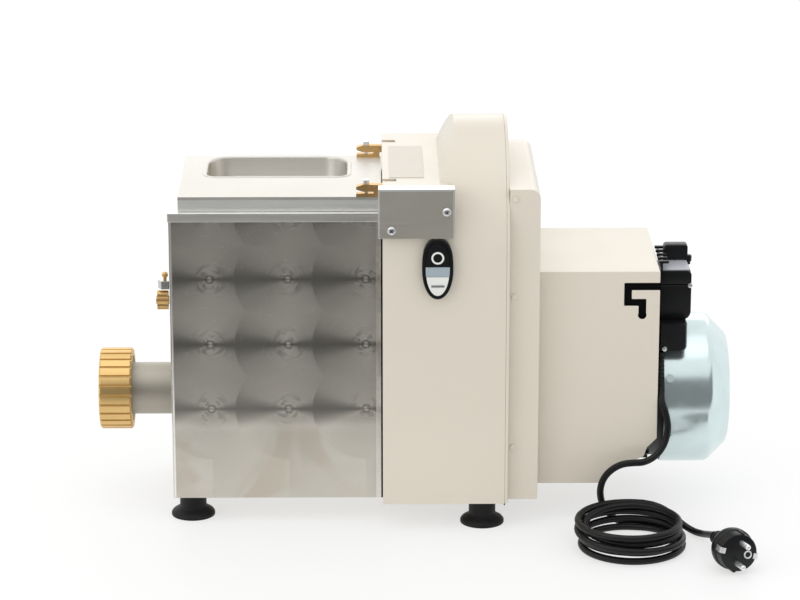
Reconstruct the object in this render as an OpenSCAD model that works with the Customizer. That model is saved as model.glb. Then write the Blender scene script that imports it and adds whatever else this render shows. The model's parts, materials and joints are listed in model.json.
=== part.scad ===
// Electric pasta maker.
// A steel hopper mixes the dough, and an auger under it drives the dough through a die that a
// toothed bronze nut holds. A painted casing holds the gears, and a fan-cooled motor drives them.
// +X points from the nut to the motor, -Y is the side with the push-buttons, and +Z is up.
// The origin is on the floor, under the middle of the machine without its cord.

/* [Shafts] */
// Height of the auger and motor axis above the floor
auger_z = 106.5; // [106:0.5:110]
// Running clearance of a shaft in its bush, on the radius
run_gap = 0.05; // [0.02:0.01:0.1]
// Clearance of a fixed piece in its seat, on the radius
seat_gap = 0.05; // [0.02:0.01:0.1]

/* [Hopper] */
// Length of the hopper along X
hopper_l = 196; // [185:1:215]
// Width of the hopper
hopper_w = 160; // [158:1:172]
// Height of the hopper's floor above the table
hopper_z0 = 24; // [20:1:28]
// Height of the hopper's sheet wall
hopper_h = 268; // [264:1:280]
// Thickness of the hopper's sheet
sheet_t = 1.5; // [1:0.1:2]
// Height of the rim on top of the hopper
rim_h = 8.4; // [6:0.2:12]
// How far the rim stands proud of the hopper
rim_proud = 1; // [0.5:0.1:2]
// Wall of the mixing trough
trough_t = 3; // [2.5:0.1:4]
// Clearance between the trough and the hopper's sheet
trough_gap = 0.1; // [0.05:0.05:0.3]
// Inner radius of the mixing trough
trough_r = 68; // [64:0.5:69]

/* [Lid] */
// Length of the lid along X
lid_l = 186.5; // [180:0.5:188]
// Width of the lid
lid_w = 152; // [146:1:156]
// Height of the lid, from its skirt's edge to its top
lid_h = 13.7; // [11:0.1:16]
// Gap between the lid and the rim or the casing
lid_gap = 0.4; // [0.3:0.1:0.8]
// Depth of the tray pressed into the lid
tray_depth = 22; // [16:1:22]
// Length of the tray along X
tray_l = 131; // [110:1:140]
// Width of the tray
tray_w = 74; // [60:1:80]

/* [Extruder] */
// Length of the barrel between the hopper and the nut
barrel_out = 41; // [36:0.5:46]
// Outer radius of the barrel
barrel_r = 24.6; // [24:0.1:26]
// Radius of the barrel's threaded head
head_r = 31; // [30:0.5:33]
// Radius of the auger's flight
auger_r = 21.2; // [19:0.1:21.5]
// Clearance between the flight and the barrel
auger_gap = 0.3; // [0.2:0.1:0.6]
// Length of the ring nut
nut_l = 30.5; // [28:0.5:36]
// Radius of the ring nut over its teeth
nut_r = 38.5; // [37.5:0.1:42]
// Number of teeth on the ring nut
nut_teeth = 26; // [18:1:30]
// Thickness of the die
die_t = 4; // [3:0.5:5]

/* [Casing] */
// Length of the casing along X
casing_l = 113; // [110:1:125]
// Width of the casing
casing_w = 208; // [206:1:222]
// Height of the casing's floor above the table
casing_z0 = 26; // [22:1:30]
// Height of the casing's flat front top above the table
table_z = 329.6; // [326:0.2:334]
// Length of the casing's flat front top along X
table_l = 52; // [48:1:56]
// Lean of the hood's front, in degrees
hood_lean = 19; // [10:1:25]
// Wall of the casing
wall_t = 2; // [1.5:0.1:2.5]
// Thickness of the back plate
plate_t = 3; // [2.5:0.1:4]

/* [Rear box] */
// Length of the rear box along X
box_l = 28; // [25:1:34]
// Width of the rear box
box_w = 188; // [180:1:200]
// Height of the rear box's top above the table
box_top = 325.5; // [318:0.5:330]
// Radius of the rear box's top edge
box_edge_r = 9; // [4:0.5:14]

/* [Motor] */
// Length of the motor cover along X
cover_l = 112; // [105:1:120]
// Width of the motor cover
cover_w = 152; // [150:1:160]
// Height of the motor cover's top above the table
cover_top = 242.5; // [238:0.5:248]
// Wall of the motor cover
cover_t = 1.5; // [1:0.1:2]
// Distance that the motor stands out behind its cover
motor_out = 71.5; // [68:0.5:80]
// Radius of the motor's frame without its fins
frame_r = 65; // [63:0.5:66]
// Outer radius of the fan cowl
cowl_r = 70.8; // [69.8:0.2:72]
// Sheet of the fan cowl
cowl_t = 1.2; // [0.8:0.1:1.5]
// Radius of the cowl's end face
cowl_end_r = 48; // [42:1:50]
// Radius of the motor shaft
shaft_r = 7; // [6.5:0.5:8]

/* [Gears] */
// Size of the gears' teeth
gear_module = 2; // [1.9:0.05:2]
// Play between the teeth
backlash = 0.4; // [0.3:0.05:0.6]
// Number of teeth on the large auger and counter gears
wheel_teeth = 48; // [48:1:48]
// Number of teeth on the two pinions
pinion_teeth = 12; // [12:1:12]
// Number of teeth on the mixer gear
mixer_teeth = 47; // [46:1:47]
// Face width of a gear
gear_b = 14; // [12:1:16]

/* [Buttons] */
// Height of the push-buttons' middle above the table
switch_z = 255; // [250:1:260]
// Distance of the push-buttons' middle behind the casing's front
switch_x = 50; // [46:1:54]
// Width of the bezel
bezel_w = 28.5; // [26:0.5:31]
// Height of the bezel
bezel_h = 56; // [52:1:60]
// How far the bezel stands out of the casing
bezel_t = 8; // [7:0.5:9]
// Travel of a button
travel = 3; // [2:0.5:3]

/* [Hinge cover] */
// How far the hinge cover stands out of the casing
guard_out = 10; // [9:0.5:12]
// Length of the hinge cover along X
guard_l = 69.5; // [66:0.5:74]
// Height of the hinge cover
guard_h = 46; // [42:1:50]

/* [Feet] */
// Radius of a foot's stem
foot_r = 12.5; // [11:0.5:14]
// Radius of a foot's rubber flange
flange_r = 20.5; // [18:0.5:22]

/* [Cord] */
// Diameter of the mains cord
cord_d = 6.5; // [6:0.1:6.8]

/* [Hidden] */
$fn = 64;
eps = 0.01;

// Stations along X, from the nut to the cowl
total_l = nut_l + barrel_out + hopper_l + casing_l + plate_t + box_l + cover_l + motor_out;
x_nut = -total_l / 2;
x_barrel = x_nut + nut_l;
x_hop = x_barrel + barrel_out;
x_case = x_hop + hopper_l;
x_plate = x_case + casing_l;
x_box = x_plate + plate_t;
x_cover = x_box + box_l;
x_gap = x_cover + cover_l;
x_end = x_gap + motor_out;

// Half widths
hop_y = hopper_w / 2;
case_y = casing_w / 2;
box_y = box_w / 2;
cov_y = cover_w / 2;
lid_y = lid_w / 2;

// Heights
hop_top = hopper_z0 + hopper_h;
rim_top = hop_top + rim_h;
lid_z0 = rim_top + lid_gap;
lid_top = lid_z0 + lid_h;
box_z0 = casing_z0 + 1;
cover_z0 = casing_z0 + 10;
hood_drop = 62.6;
hood_z = table_z - hood_drop;
motor_z = auger_z;

// The screw heads on the hinge cover stand furthest out on the -Y side
pan_h = 2.5;
mid_y = (guard_out + pan_h) / 2;

// Gears: the auger, motor and mixer axes are above each other, the counter shaft is beside them
wheel_r = gear_module * wheel_teeth / 2;
pinion_r = gear_module * pinion_teeth / 2;
mixer_gear_r = gear_module * mixer_teeth / 2;
mesh_d = wheel_r + pinion_r;
counter_y = mesh_d * 0.8;
counter_z = auger_z + mesh_d * 0.6;
mixer_z = auger_z + wheel_r + mixer_gear_r;
counter_dir = atan2(counter_z - auger_z, counter_y);
addendum = 0.8 * gear_module;
dedendum = 1.1 * gear_module;
pressure = 20;

// Gear box plates: one on the casing's front wall, one in the middle, one on the back plate
plate_b = 8;
x_front_plate = x_case + wall_t;
x_front_face = x_front_plate + plate_b;
x_mid_plate = x_case + 38;
x_mid_face = x_mid_plate + plate_b;
x_rear_plate = x_plate - plate_b;
x_gear_b = x_mid_face + 6;
x_gear_a = x_gear_b + gear_b + 6;
gear_plate_y = [-72, 95];
gear_plate_z = [auger_z - 55, mixer_z + 50];
pillar_r = 6;
pillars = [[-62, auger_z - 45], [-62, mixer_z + 40], [85, auger_z - 35], [85, mixer_z + 25]];

// Bushes: outer radius, inner radius
auger_journal = 12;
auger_neck = 10;
mixer_journal = 10;
mixer_r = 8;
counter_r = 7;
bush_t = 4;
flange_t = 4;

// Extruder
barrel_bore = auger_r + auger_gap;
lip_t = 4;
nut_edge = 1.5;
groove_r = 1.3;
washer_t = 0.9;
x_die = x_nut + lip_t + 1;
x_head = x_die + die_t;
nut_bore = head_r + run_gap;
channel_r = barrel_bore + 1.5;
auger_pitch = 36;
neck_w = 28;

// Trough: inner faces
x_tr0 = x_hop + sheet_t + trough_gap;
x_tr1 = x_case - sheet_t - trough_gap;
x_in0 = x_tr0 + trough_t;
x_in1 = x_tr1 - trough_t;
trough_out = trough_r + trough_t;
rim_ledge = 9;
rim_in_y = lid_y - sheet_t - 0.5;

// Lid and its hinge
lid_x1 = x_case - 1;
lid_x0 = lid_x1 - lid_l;
tray_x1 = lid_x1 - 32;
tray_x0 = tray_x1 - tray_l;
tray_y1 = lid_y - 4;
tray_y0 = tray_y1 - tray_w;
tray_lip = 4;
tray_z0 = lid_top - tray_depth;
hinge_x = x_case + 6.5;
hinge_z = lid_top + 8;
pin_r = 3;
cam_l = 12.5;
cam_t = 4;
cam_lean = 10;
eye_r = 5.5;
arm_y0 = lid_y - 6;
arm_y1 = lid_y + 1;
nose_x = x_case - 24;
arm_screw_x = nose_x + 9;
arm_screw_y = arm_y0 + 2.5;
arm_screw_r = 1.5;
slot_gap = 0.8;

// Push-buttons
sw_x = x_case + switch_x;
rim_w = 3.2;
lens_top = 2.6;
lens_bottom = -6.4;
stop_rod_z = 11;
start_rod_z = -14;
button_gap = 0.3;
pocket_y = -case_y - bezel_t + 6;
rod_r = 2.5;
bezel_y = -case_y - bezel_t;

// Feet: x, y, height
front_foot_x = x_hop + 17;
rear_foot_x = x_case + 93;
front_foot_y = hop_y - 23;
rear_foot_y = case_y - 24;

// Fan, cowl and shields
x_shield = x_gap;
x_cowl = x_gap + 7;
x_shield_end = x_cowl + 10;
x_stator = x_cover + 21;
stator_l = 65;
stator_bore = 36;
air_gap = 0.5;
frame_bore = frame_r - 6;
x_flange_end = x_cover - 2;
x_fan = x_end - 42;
fan_r = 54;
fan_hub_r = 14;
fin_h = 3;
bearing_r = 16;
bearing_l = 8;
screw_angle = 24;

// Cord: points of the free stretches, chosen by hand, with y from the machine's middle plane
cord_r = cord_d / 2;
gland_x = x_gap + 3;
cord_exit = [gland_x, -68.6, 126];
box_low_z = 160;
gland_route = [[gland_x, -58, box_low_z - 0.3], [gland_x, -58, 156], [gland_x, -59.2, 150],
    [gland_x, -61.7, 143], [gland_x, -65.2, 135]];
lead_route = [
    [229.8, -75.5, 116.6],
    [232.4, -79.2, 108.8],
    [234.6, -80.3, 101.1],
    [235.7, -81, 92.4],
    [234.4, -82.9, 83.5],
    [231.1, -85.9, 75.8],
    [226, -89.6, 69.8],
    [219.2, -93.3, 65.7],
    [211.4, -96.5, 63.8],
    [201.7, -97.9, 63.6],
    [192.1, -96.6, 61.6],
    [182.8, -95.1, 55.8],
    [176.1, -93.4, 47],
    [173.1, -92.3, 36.7],
    [173.6, -92, 26.8],
    [176.6, -92.4, 18.8],
    [181.5, -93.3, 12.1],
    [189.8, -95.5, 6]
];
tail_route = [
    [222, -102, 23.5],
    [232, -104.8, 20],
    [241.5, -108.6, 13.5],
    [250, -113.6, 7.5],
    [258.4, -120.5, 4.4],
    [265.5, -130, 5.4],
    [270, -141, 8.8],
    [272.6, -151, 12]
];
coil_at = [197, -148];
coil_out_r = 50;
coil_in_r = 41.2;
coil_turns = 5;
coil_layers = 4;
coil_rings = 24;
coil_start = 80;
layer_h = cord_d + 0.7;
plug_turn = -76;
plug_roll = 75;
plug_back = [274.5, -160, 14];
plug_tilt = 6.2;

// ---------------------------------------------------------------- shapes

// Moves a piece from the machine's middle plane to the frame of the part
module placed() translate([0, mid_y, 0]) children();

module block(x, y, z) translate([x[0], y[0], z[0]]) cube([x[1] - x[0], y[1] - y[0], z[1] - z[0]]);

module rod_x(x0, x1, r, y = 0, z = 0)
    translate([x0, y, z]) rotate([0, 90, 0]) cylinder(h = x1 - x0, r = r);

module rod_y(y0, y1, r, x, z)
    translate([x, y1, z]) rotate([90, 0, 0]) cylinder(h = y1 - y0, r = r);

module rod_z(z0, z1, r, x, y) translate([x, y, z0]) cylinder(h = z1 - z0, r = r);

module ring_x(x0, x1, r, bore, y = 0, z = 0) difference() {
    rod_x(x0, x1, r, y, z);
    rod_x(x0 - 1, x1 + 1, bore, y, z);
}

// Extrudes an outline drawn in (y, z) along X
module extrude_x(x0, x1)
    translate([x0, 0, 0]) rotate([90, 0, 90]) linear_extrude(height = x1 - x0) children();

// Extrudes an outline drawn in (x, z) along Y
module extrude_y(y0, y1)
    translate([0, y1, 0]) rotate([90, 0, 0]) linear_extrude(height = y1 - y0) children();

// Points of a rectangle with a radius on each corner, from the lower left one round
function rounded(x, y, r, n = 6) = let (
    c = [[x[1] - r[1], y[0] + r[1]], [x[1] - r[2], y[1] - r[2]], [x[0] + r[3], y[1] - r[3]],
         [x[0] + r[0], y[0] + r[0]]],
    k = [r[1], r[2], r[3], r[0]]
) [for (i = [0 : 3]) for (j = [0 : n]) let (a = -90 + 90 * (i + j / n)) c[i] + k[i] * [cos(a), sin(a)]];

module both_sides() {
    children();
    mirror([0, 1, 0]) children();
}

// ---------------------------------------------------------------- hopper

module hopper_shell() placed() color("silver") difference() {
    block([x_hop, x_case], [-hop_y, hop_y], [hopper_z0, hop_top]);
    block([x_hop + sheet_t, x_case - sheet_t], [-hop_y + sheet_t, hop_y - sheet_t],
        [hopper_z0 + sheet_t, hop_top + 1]);
    rod_x(x_hop - 1, x_hop + 5, barrel_r + seat_gap, 0, auger_z);
    rod_x(x_hop - 1, x_hop + 5, mixer_r + bush_t + seat_gap, 0, mixer_z);
    rod_x(x_case - 5, x_case + 1, auger_journal + bush_t + seat_gap, 0, auger_z);
    rod_x(x_case - 5, x_case + 1, mixer_journal + bush_t + seat_gap, 0, mixer_z);
    both_sides() rod_z(hopper_z0 - 1, hopper_z0 + 5, 3 + seat_gap, front_foot_x, front_foot_y);
}

module hopper_rim() placed() color("gainsboro") difference() {
    block([x_hop - rim_proud, x_case], [-hop_y - rim_proud, hop_y + rim_proud], [hop_top, rim_top]);
    block([x_in0 + rim_ledge, x_in1 - rim_ledge], [-rim_in_y, rim_in_y], [hop_top - 1, rim_top + 1]);
}

module trough_outline(r, channel, neck, top) {
    translate([0, mixer_z]) circle(r);
    translate([-r, mixer_z]) square([2 * r, top - mixer_z]);
    translate([0, auger_z]) circle(channel);
    translate([-neck / 2, auger_z]) square([neck, mixer_z - auger_z]);
}

module mixing_trough() placed() color("lightgray") difference() {
    union() {
        extrude_x(x_tr0, x_tr1)
            trough_outline(trough_out, channel_r + trough_t + 2, neck_w + 2 * trough_t, hop_top);
        block([x_tr0, x_tr1], [-hop_y + sheet_t + trough_gap, hop_y - sheet_t - trough_gap],
            [hop_top - trough_t, hop_top]);
    }
    extrude_x(x_in0, x_in1) trough_outline(trough_r, channel_r, neck_w, hop_top + 1);
    rod_x(x_tr0 - 1, x_in0 + eps, barrel_r + seat_gap, 0, auger_z);
    rod_x(x_tr0 - 1, x_in0 + 1, mixer_r + bush_t + seat_gap, 0, mixer_z);
    rod_x(x_in1 - 1, x_tr1 + 1, auger_journal + bush_t + seat_gap, 0, auger_z);
    rod_x(x_in1 - 1, x_tr1 + 1, mixer_journal + bush_t + seat_gap, 0, mixer_z);
}

// ---------------------------------------------------------------- extruder

module extruder_barrel() placed() color("silver") difference() {
    union() {
        rod_x(x_head, x_in0, barrel_r, 0, auger_z);
        rod_x(x_head, x_barrel - 1, head_r, 0, auger_z);
    }
    rod_x(x_head - 1, x_in0 + 1, barrel_bore, 0, auger_z);
}

module pasta_die() placed() color("darkgoldenrod") difference() {
    rod_x(x_die, x_head, head_r - 0.2, 0, auger_z);
    for (i = [0 : 7]) rod_x(x_die - 1, x_head + 1, 3, 13 * cos(45 * i), auger_z + 13 * sin(45 * i));
    rod_x(x_die - 1, x_head + 1, 3, 0, auger_z);
}

module thrust_washer() placed() color("silver")
    ring_x(x_die - run_gap - washer_t, x_die - run_gap, head_r - 0.1, head_r - 7, 0, auger_z);

module ring_nut() placed() color("peru") difference() {
    union() {
        rod_x(x_nut + nut_edge, x_barrel - nut_edge, nut_r, 0, auger_z);
        translate([x_nut, 0, auger_z]) rotate([0, 90, 0])
            cylinder(h = nut_edge, r1 = nut_r - nut_edge, r2 = nut_r);
        translate([x_barrel - nut_edge, 0, auger_z]) rotate([0, 90, 0])
            cylinder(h = nut_edge, r1 = nut_r, r2 = nut_r - nut_edge);
    }
    for (i = [0 : nut_teeth - 1]) translate([x_nut - 1, 0, auger_z]) rotate([360 / nut_teeth * i, 0, 0])
        translate([0, 0, nut_r - 0.5]) rotate([0, 90, 0]) cylinder(h = nut_l + 2, r = groove_r, $fn = 24);
    rod_x(x_nut - 1, x_barrel, head_r - 7.5, 0, auger_z);
    rod_x(x_nut + lip_t, x_barrel + 1, nut_bore, 0, auger_z);
}

// ---------------------------------------------------------------- cutter bracket on the front

bracket_z = auger_z + 87.5;
bracket_d = 4.5;
bush_x = x_hop - 9;
bush_z = bracket_z + 11.8;
bush_h = 8;
pin_ball_r = 3;

// A block with a hexagonal bush in front of it
module cutter_bracket() placed() color("silver") difference() {
    union() {
        block([x_hop - bracket_d, x_hop], [-8, 8], [bracket_z - 10, bush_z + bush_h]);
        translate([bush_x, 0, bush_z]) cylinder(h = bush_h, r = 6.7, $fn = 6);
    }
    rod_x(x_hop - bracket_d - 1, x_hop - 1, 2.5 + run_gap, 0, bracket_z);
    rod_z(bush_z - 1, bush_z + bush_h + 1, 1.5 + run_gap, bush_x, 0);
}

module index_pin() placed() color("peru") {
    rod_z(bush_z + 1, bush_z + bush_h + 3, 1.5, bush_x, 0);
    translate([bush_x, 0, bush_z + bush_h + 1.8 + pin_ball_r]) sphere(pin_ball_r);
}

module wing_screw() placed() color("goldenrod") {
    rod_x(x_hop - bracket_d - 13, x_hop - bracket_d - 0.3, 4, 0, bracket_z);
    rod_x(x_hop - bracket_d - 1, x_hop - 1.5, 2.5, 0, bracket_z);
    for (s = [-1, 1]) rod_x(x_hop - bracket_d - 12, x_hop - bracket_d - 1.5, 4.6, 0, bracket_z + 4.7 * s);
}

// ---------------------------------------------------------------- casing

module hood_outline(inset) {
    translate([0, hood_z]) circle(case_y - inset, $fn = 96);
    translate([-case_y + inset, casing_z0 + inset])
        square([casing_w - 2 * inset, hood_z - casing_z0 - inset]);
}

// Cuts the leaning front of the hood
module hood_front(inset)
    translate([x_case + table_l + inset / cos(hood_lean), -case_y - 1, table_z]) rotate([0, hood_lean, 0])
        translate([-60, 0, 0]) cube([60, casing_w + 2, 120]);

module casing_solid(inset, x1) {
    block([x_case + inset, x_case + table_l + 8 - inset], [-case_y + inset, case_y - inset],
        [casing_z0 + inset, table_z - inset]);
    difference() {
        extrude_x(x_case + table_l + inset, x1) hood_outline(inset);
        hood_front(inset);
    }
}

module front_casing() placed() color("antiquewhite") difference() {
    casing_solid(0, x_plate);
    casing_solid(wall_t, x_plate + 1);
    rod_x(x_case - 1, x_case + 5, auger_journal + bush_t + seat_gap, 0, auger_z);
    rod_x(x_case - 1, x_case + 5, mixer_journal + bush_t + seat_gap, 0, mixer_z);
    both_sides() block([x_case - 1, hinge_x + eye_r + slot_gap], [arm_y0 - slot_gap, arm_y1 + slot_gap],
        [hinge_z - eye_r - slot_gap, table_z + 1]);
    both_sides() rod_z(casing_z0 - 1, casing_z0 + 5, 3 + seat_gap, rear_foot_x, rear_foot_y);
    block([sw_x - 9, sw_x + 9], [-case_y - 1, -case_y + 5], [switch_z - 20, switch_z + 20]);
    for (p = guard_screws) rod_y(-case_y - 1, -case_y + 7, 2 + seat_gap, p[0], p[1]);
}

module back_plate() placed() color("antiquewhite") difference() {
    extrude_x(x_plate, x_box) hood_outline(0);
    rod_x(x_plate - 1, x_box + 1, shaft_r + 6, 0, motor_z);
}

// Side outline of the rear box in (x, z): its upper rear edge is round
function box_outline(inset) = concat(
    [[x_box - (inset > 0 ? 1 : 0), box_z0 + inset], [x_cover - inset, box_z0 + inset]],
    [for (a = [0 : 15 : 90]) [x_cover - box_edge_r, box_top - box_edge_r]
        + (box_edge_r - inset) * [cos(a), sin(a)]],
    [[x_box - (inset > 0 ? 1 : 0), box_top - inset]]
);

module rear_box() placed() color("antiquewhite") difference() {
    extrude_y(-box_y, box_y) polygon(box_outline(0));
    extrude_y(-box_y + wall_t, box_y - wall_t) polygon(box_outline(wall_t));
    block([x_cover - 5, x_cover + 1], [-cov_y + 8, cov_y - 8], [cover_z0 + 4, cover_top - 8]);
    both_sides() for (z = side_screw_z)
        rod_y(-box_y - 1, -box_y + 5, 1.5 + seat_gap, side_screw_x, z);
}

// Outline of a cover's side in (x, z): its lower rear corner is cut away for the cord
cover_side = [
    [x_cover, cover_z0], [x_gap - 48, cover_z0], [x_gap - 46, cover_z0 + 8],
    [x_gap - 39, cover_z0 + 15], [x_gap - 12, cover_z0 + 26], [x_gap - 9, cover_z0 + 35],
    [x_gap, cover_z0 + 44], [x_gap, cover_top], [x_cover, cover_top]
];

// Slot in the near side of the motor cover: along, down, back and down again
slot_w = 7;
slot_x = x_gap - 33;
slot_z = cover_top - 18;
module guide_slot() extrude_y(-cov_y - 1, -cov_y + cover_t + 1) {
    translate([slot_x, slot_z]) square([34, slot_w]);
    translate([slot_x, slot_z - 15]) square([slot_w, 20]);
    translate([slot_x, slot_z - 15]) square([20.5, slot_w - 0.5]);
    translate([slot_x + 13.5, slot_z - 24]) square([slot_w, 12]);
    translate([slot_x + 13.5 + slot_w / 2, slot_z - 24]) circle(slot_w / 2 + 0.4);
}

// Pan-head screws in the near and far sides of the rear box
side_screw_z = [box_top - 9, switch_z - 31, auger_z - 28];
side_screw_x = x_box + 5;
module side_screws() placed() color("silver") both_sides() for (z = side_screw_z) {
    rod_y(-box_y - 1.6, -box_y, 2.8, side_screw_x, z);
    rod_y(-box_y - eps, -box_y + 5, 1.5, side_screw_x, z);
}

module motor_cover() placed() color("antiquewhite") difference() {
    extrude_y(-cov_y, cov_y) polygon(cover_side);
    block([x_cover - 1, x_gap + 1], [-cov_y + cover_t, cov_y - cover_t],
        [cover_z0 + cover_t, cover_top - cover_t]);
    guide_slot();
}

// ---------------------------------------------------------------- hinge cover

guard_x0 = x_case - 4;
guard_x1 = guard_x0 + guard_l;
guard_z1 = table_z + sheet_t;
guard_z0 = guard_z1 - guard_h;
guard_y = -case_y - guard_out;
guard_screws = [[x_case + 8, guard_z0 + 7.5], [x_case + table_l + 6, guard_z0 + 25]];

module hinge_cover() placed() color("gray") difference() {
    union() {
        block([guard_x0, guard_x1], [guard_y, guard_y + sheet_t], [guard_z0, guard_z1]);
        for (x = [guard_x0, guard_x1 - sheet_t])
            block([x, x + sheet_t], [guard_y, -case_y], [guard_z0, guard_z1]);
        block([guard_x0, guard_x1], [guard_y, -case_y + 6], [table_z, guard_z1]);
        for (p = guard_screws) rod_y(guard_y, -case_y, 4, p[0], p[1]);
    }
    for (p = guard_screws) rod_y(guard_y - 1, -case_y + 1, 2 + seat_gap, p[0], p[1]);
}

module hinge_cover_screws() placed() color("silver") for (p = guard_screws) difference() {
    union() {
        rod_y(guard_y - pan_h, guard_y, 4, p[0], p[1]);
        rod_y(guard_y - eps, -case_y + 6, 2, p[0], p[1]);
    }
    for (a = [45, 135]) translate([p[0], guard_y - pan_h, p[1]]) rotate([0, a, 0])
        translate([-2.5, -1, -0.4]) cube([5, 2, 0.8]);
}

module hinge_blocks() placed() color("gray") both_sides() difference() {
    block([x_case + wall_t, hinge_x + eye_r], [arm_y0 - 15, arm_y0 - 5], [hinge_z - 7, table_z - wall_t]);
    rod_y(arm_y0 - 20, arm_y0, pin_r + run_gap, hinge_x, hinge_z);
}

module lid_sensor() placed() color("dimgray")
    block([hinge_x + 17, hinge_x + 30], [-8, 8], [table_z - wall_t - 15, table_z - wall_t]);

module marking_plate() placed() color("whitesmoke")
    block([x_case + 6, x_case + 38], [-66, 52], [table_z, table_z + 0.6]);

// ---------------------------------------------------------------- lid

module tray_area(grow, r_near, r_far)
    polygon(rounded([tray_x0 - grow, tray_x1 + grow], [tray_y0 - grow, tray_y1 + grow],
        [r_near + grow, r_near + grow, r_far + grow, r_far + grow]));

module lid() placed() color("silver") difference() {
    block([lid_x0, lid_x1], [-lid_y, lid_y], [lid_z0, lid_top]);
    block([lid_x0 + sheet_t, lid_x1 - sheet_t], [-lid_y + sheet_t, lid_y - sheet_t],
        [lid_z0 - 1, lid_top - sheet_t]);
    translate([0, 0, lid_top - 5]) linear_extrude(height = 10) tray_area(sheet_t + 0.1, 10, 26);
    both_sides() rod_z(lid_top - 5, lid_top + 5, arm_screw_r + seat_gap, arm_screw_x, arm_screw_y);
}

module lid_tray() placed() color("lightgray") difference() {
    union() {
        translate([0, 0, tray_z0]) linear_extrude(height = tray_depth) tray_area(sheet_t, 10, 26);
        translate([0, 0, lid_top]) linear_extrude(height = sheet_t) tray_area(tray_lip, 10, 26);
    }
    translate([0, 0, tray_z0 + sheet_t]) linear_extrude(height = tray_depth + 5) tray_area(0, 10, 26);
    for (i = [0 : 6]) block([tray_x0 + 22 + 13 * i, tray_x0 + 26 + 13 * i],
        [tray_y0 + 16, tray_y1 - 16], [tray_z0 - 1, tray_z0 + 5]);
}

// One arm: an eye on the shaft, and a fork whose thin lower jaw lies on the lid
arm_jaw = 3;
arm_top = hinge_z + 3.5;
module hinge_arms() placed() color("darkgoldenrod") both_sides() difference() {
    union() {
        rod_y(arm_y0, arm_y1, eye_r, hinge_x, hinge_z);
        block([nose_x + 6, hinge_x], [arm_y0, arm_y1], [arm_top - 6.5, arm_top]);
        extrude_y(arm_y0, arm_y1) polygon([[nose_x + 6, arm_top], [nose_x + 6, arm_top - 6.5],
            [nose_x, arm_top - 4.5], [nose_x, arm_top - 2]]);
        block([nose_x, lid_x1 - 1], [arm_y0, arm_y1], [lid_top, lid_top + arm_jaw]);
        block([lid_x1 - 7, lid_x1 - 1], [arm_y0, arm_y1], [lid_top, arm_top]);
    }
    rod_y(arm_y0 - 1, arm_y1 + 1, pin_r, hinge_x, hinge_z);
    rod_z(lid_top - 1, arm_top + 1, arm_screw_r + seat_gap, arm_screw_x, arm_screw_y);
}

module arm_screws() placed() color("silver") both_sides() {
    rod_z(lid_top - sheet_t - 3, arm_top + eps, arm_screw_r, arm_screw_x, arm_screw_y);
    rod_z(arm_top, arm_top + 4, 2 * arm_screw_r, arm_screw_x, arm_screw_y);
}

// The shaft, with a flat cam in its middle that carries the magnet for the lid sensor
module hinge_shaft() placed() color("silver") {
    rod_y(-arm_y1, arm_y1, pin_r, hinge_x, hinge_z);
    translate([hinge_x, 0, hinge_z]) rotate([0, -cam_lean, 0])
        block([0, cam_l], [-5, 5], [-cam_t / 2, cam_t / 2]);
}

// ---------------------------------------------------------------- push-buttons

// Outline of the bezel in (x, z), drawn round its middle: its upper half is squarer than its lower
function signed_power(v, e) = sign(v) * pow(abs(v), 2 / e);
module oval(inset) polygon([for (a = [0 : 10 : 350]) let (e = a <= 180 ? 2.75 : 2.05)
    [(bezel_w / 2 - inset) * signed_power(cos(a), e), (bezel_h / 2 - inset) * signed_power(sin(a), e)]]);

// A slice of the oval between two heights above the bezel's middle
module oval_slice(z0, z1, inset) intersection() {
    oval(inset);
    translate([-bezel_w, z0]) square([2 * bezel_w, z1 - z0]);
}

module at_switch() translate([sw_x, 0, switch_z]) children();

module switch_bezel() placed() color("black") at_switch() difference() {
    extrude_y(bezel_y, -case_y) oval(0);
    extrude_y(bezel_y - 1, pocket_y) oval(rim_w);
    for (z = [stop_rod_z, start_rod_z]) rod_y(bezel_y, -case_y + 1, rod_r + button_gap, 0, z);
}

module switch_body() placed() color("dimgray") at_switch() difference() {
    block([-12, 12], [-case_y + wall_t, -case_y + 28], [-23, 23]);
    for (z = [stop_rod_z, start_rod_z]) rod_y(-case_y, -case_y + 14, rod_r + button_gap, 0, z);
}

module pilot_lens() placed() color("lightsteelblue") at_switch()
    extrude_y(bezel_y - 0.3, pocket_y) oval_slice(lens_bottom, lens_top, rim_w + seat_gap);

module button(z0, z1, rod_z) at_switch() {
    extrude_y(bezel_y - 0.5, pocket_y - travel - 0.3) oval_slice(z0, z1, rim_w + button_gap);
    rod_y(pocket_y - travel - 1, -case_y + 8, rod_r, 0, rod_z);
}

module stop_button() placed() color("black") button(lens_top + button_gap, bezel_h, stop_rod_z);

module start_button() placed() color("white") button(-bezel_h, lens_bottom - button_gap, start_rod_z);

// ---------------------------------------------------------------- gears and shafts

function inv(a) = tan(a) * 180 / PI - a;

// Half of a tooth's angle at radius r, on an involute flank
function half_angle(teeth, r) = let (
    rp = gear_module * teeth / 2,
    rb = rp * cos(pressure),
    play = backlash / 4 / rp * 180 / PI
) 90 / teeth - play + inv(pressure) - inv(acos(min(1, rb / r)));

// Points of a whole gear with a tooth at the angle turn
function gear_points(teeth, turn) = let (
    rp = gear_module * teeth / 2,
    radii = [rp - dedendum, rp, rp + addendum],
    side = [for (r = radii) [r, half_angle(teeth, r)]]
) [for (i = [0 : teeth - 1]) let (a = turn + 360 / teeth * i)
    for (p = concat([for (q = side) [q[0], -q[1]]], [for (k = [2, 1, 0]) side[k]]))
        p[0] * [cos(a + p[1]), sin(a + p[1])]];

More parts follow.
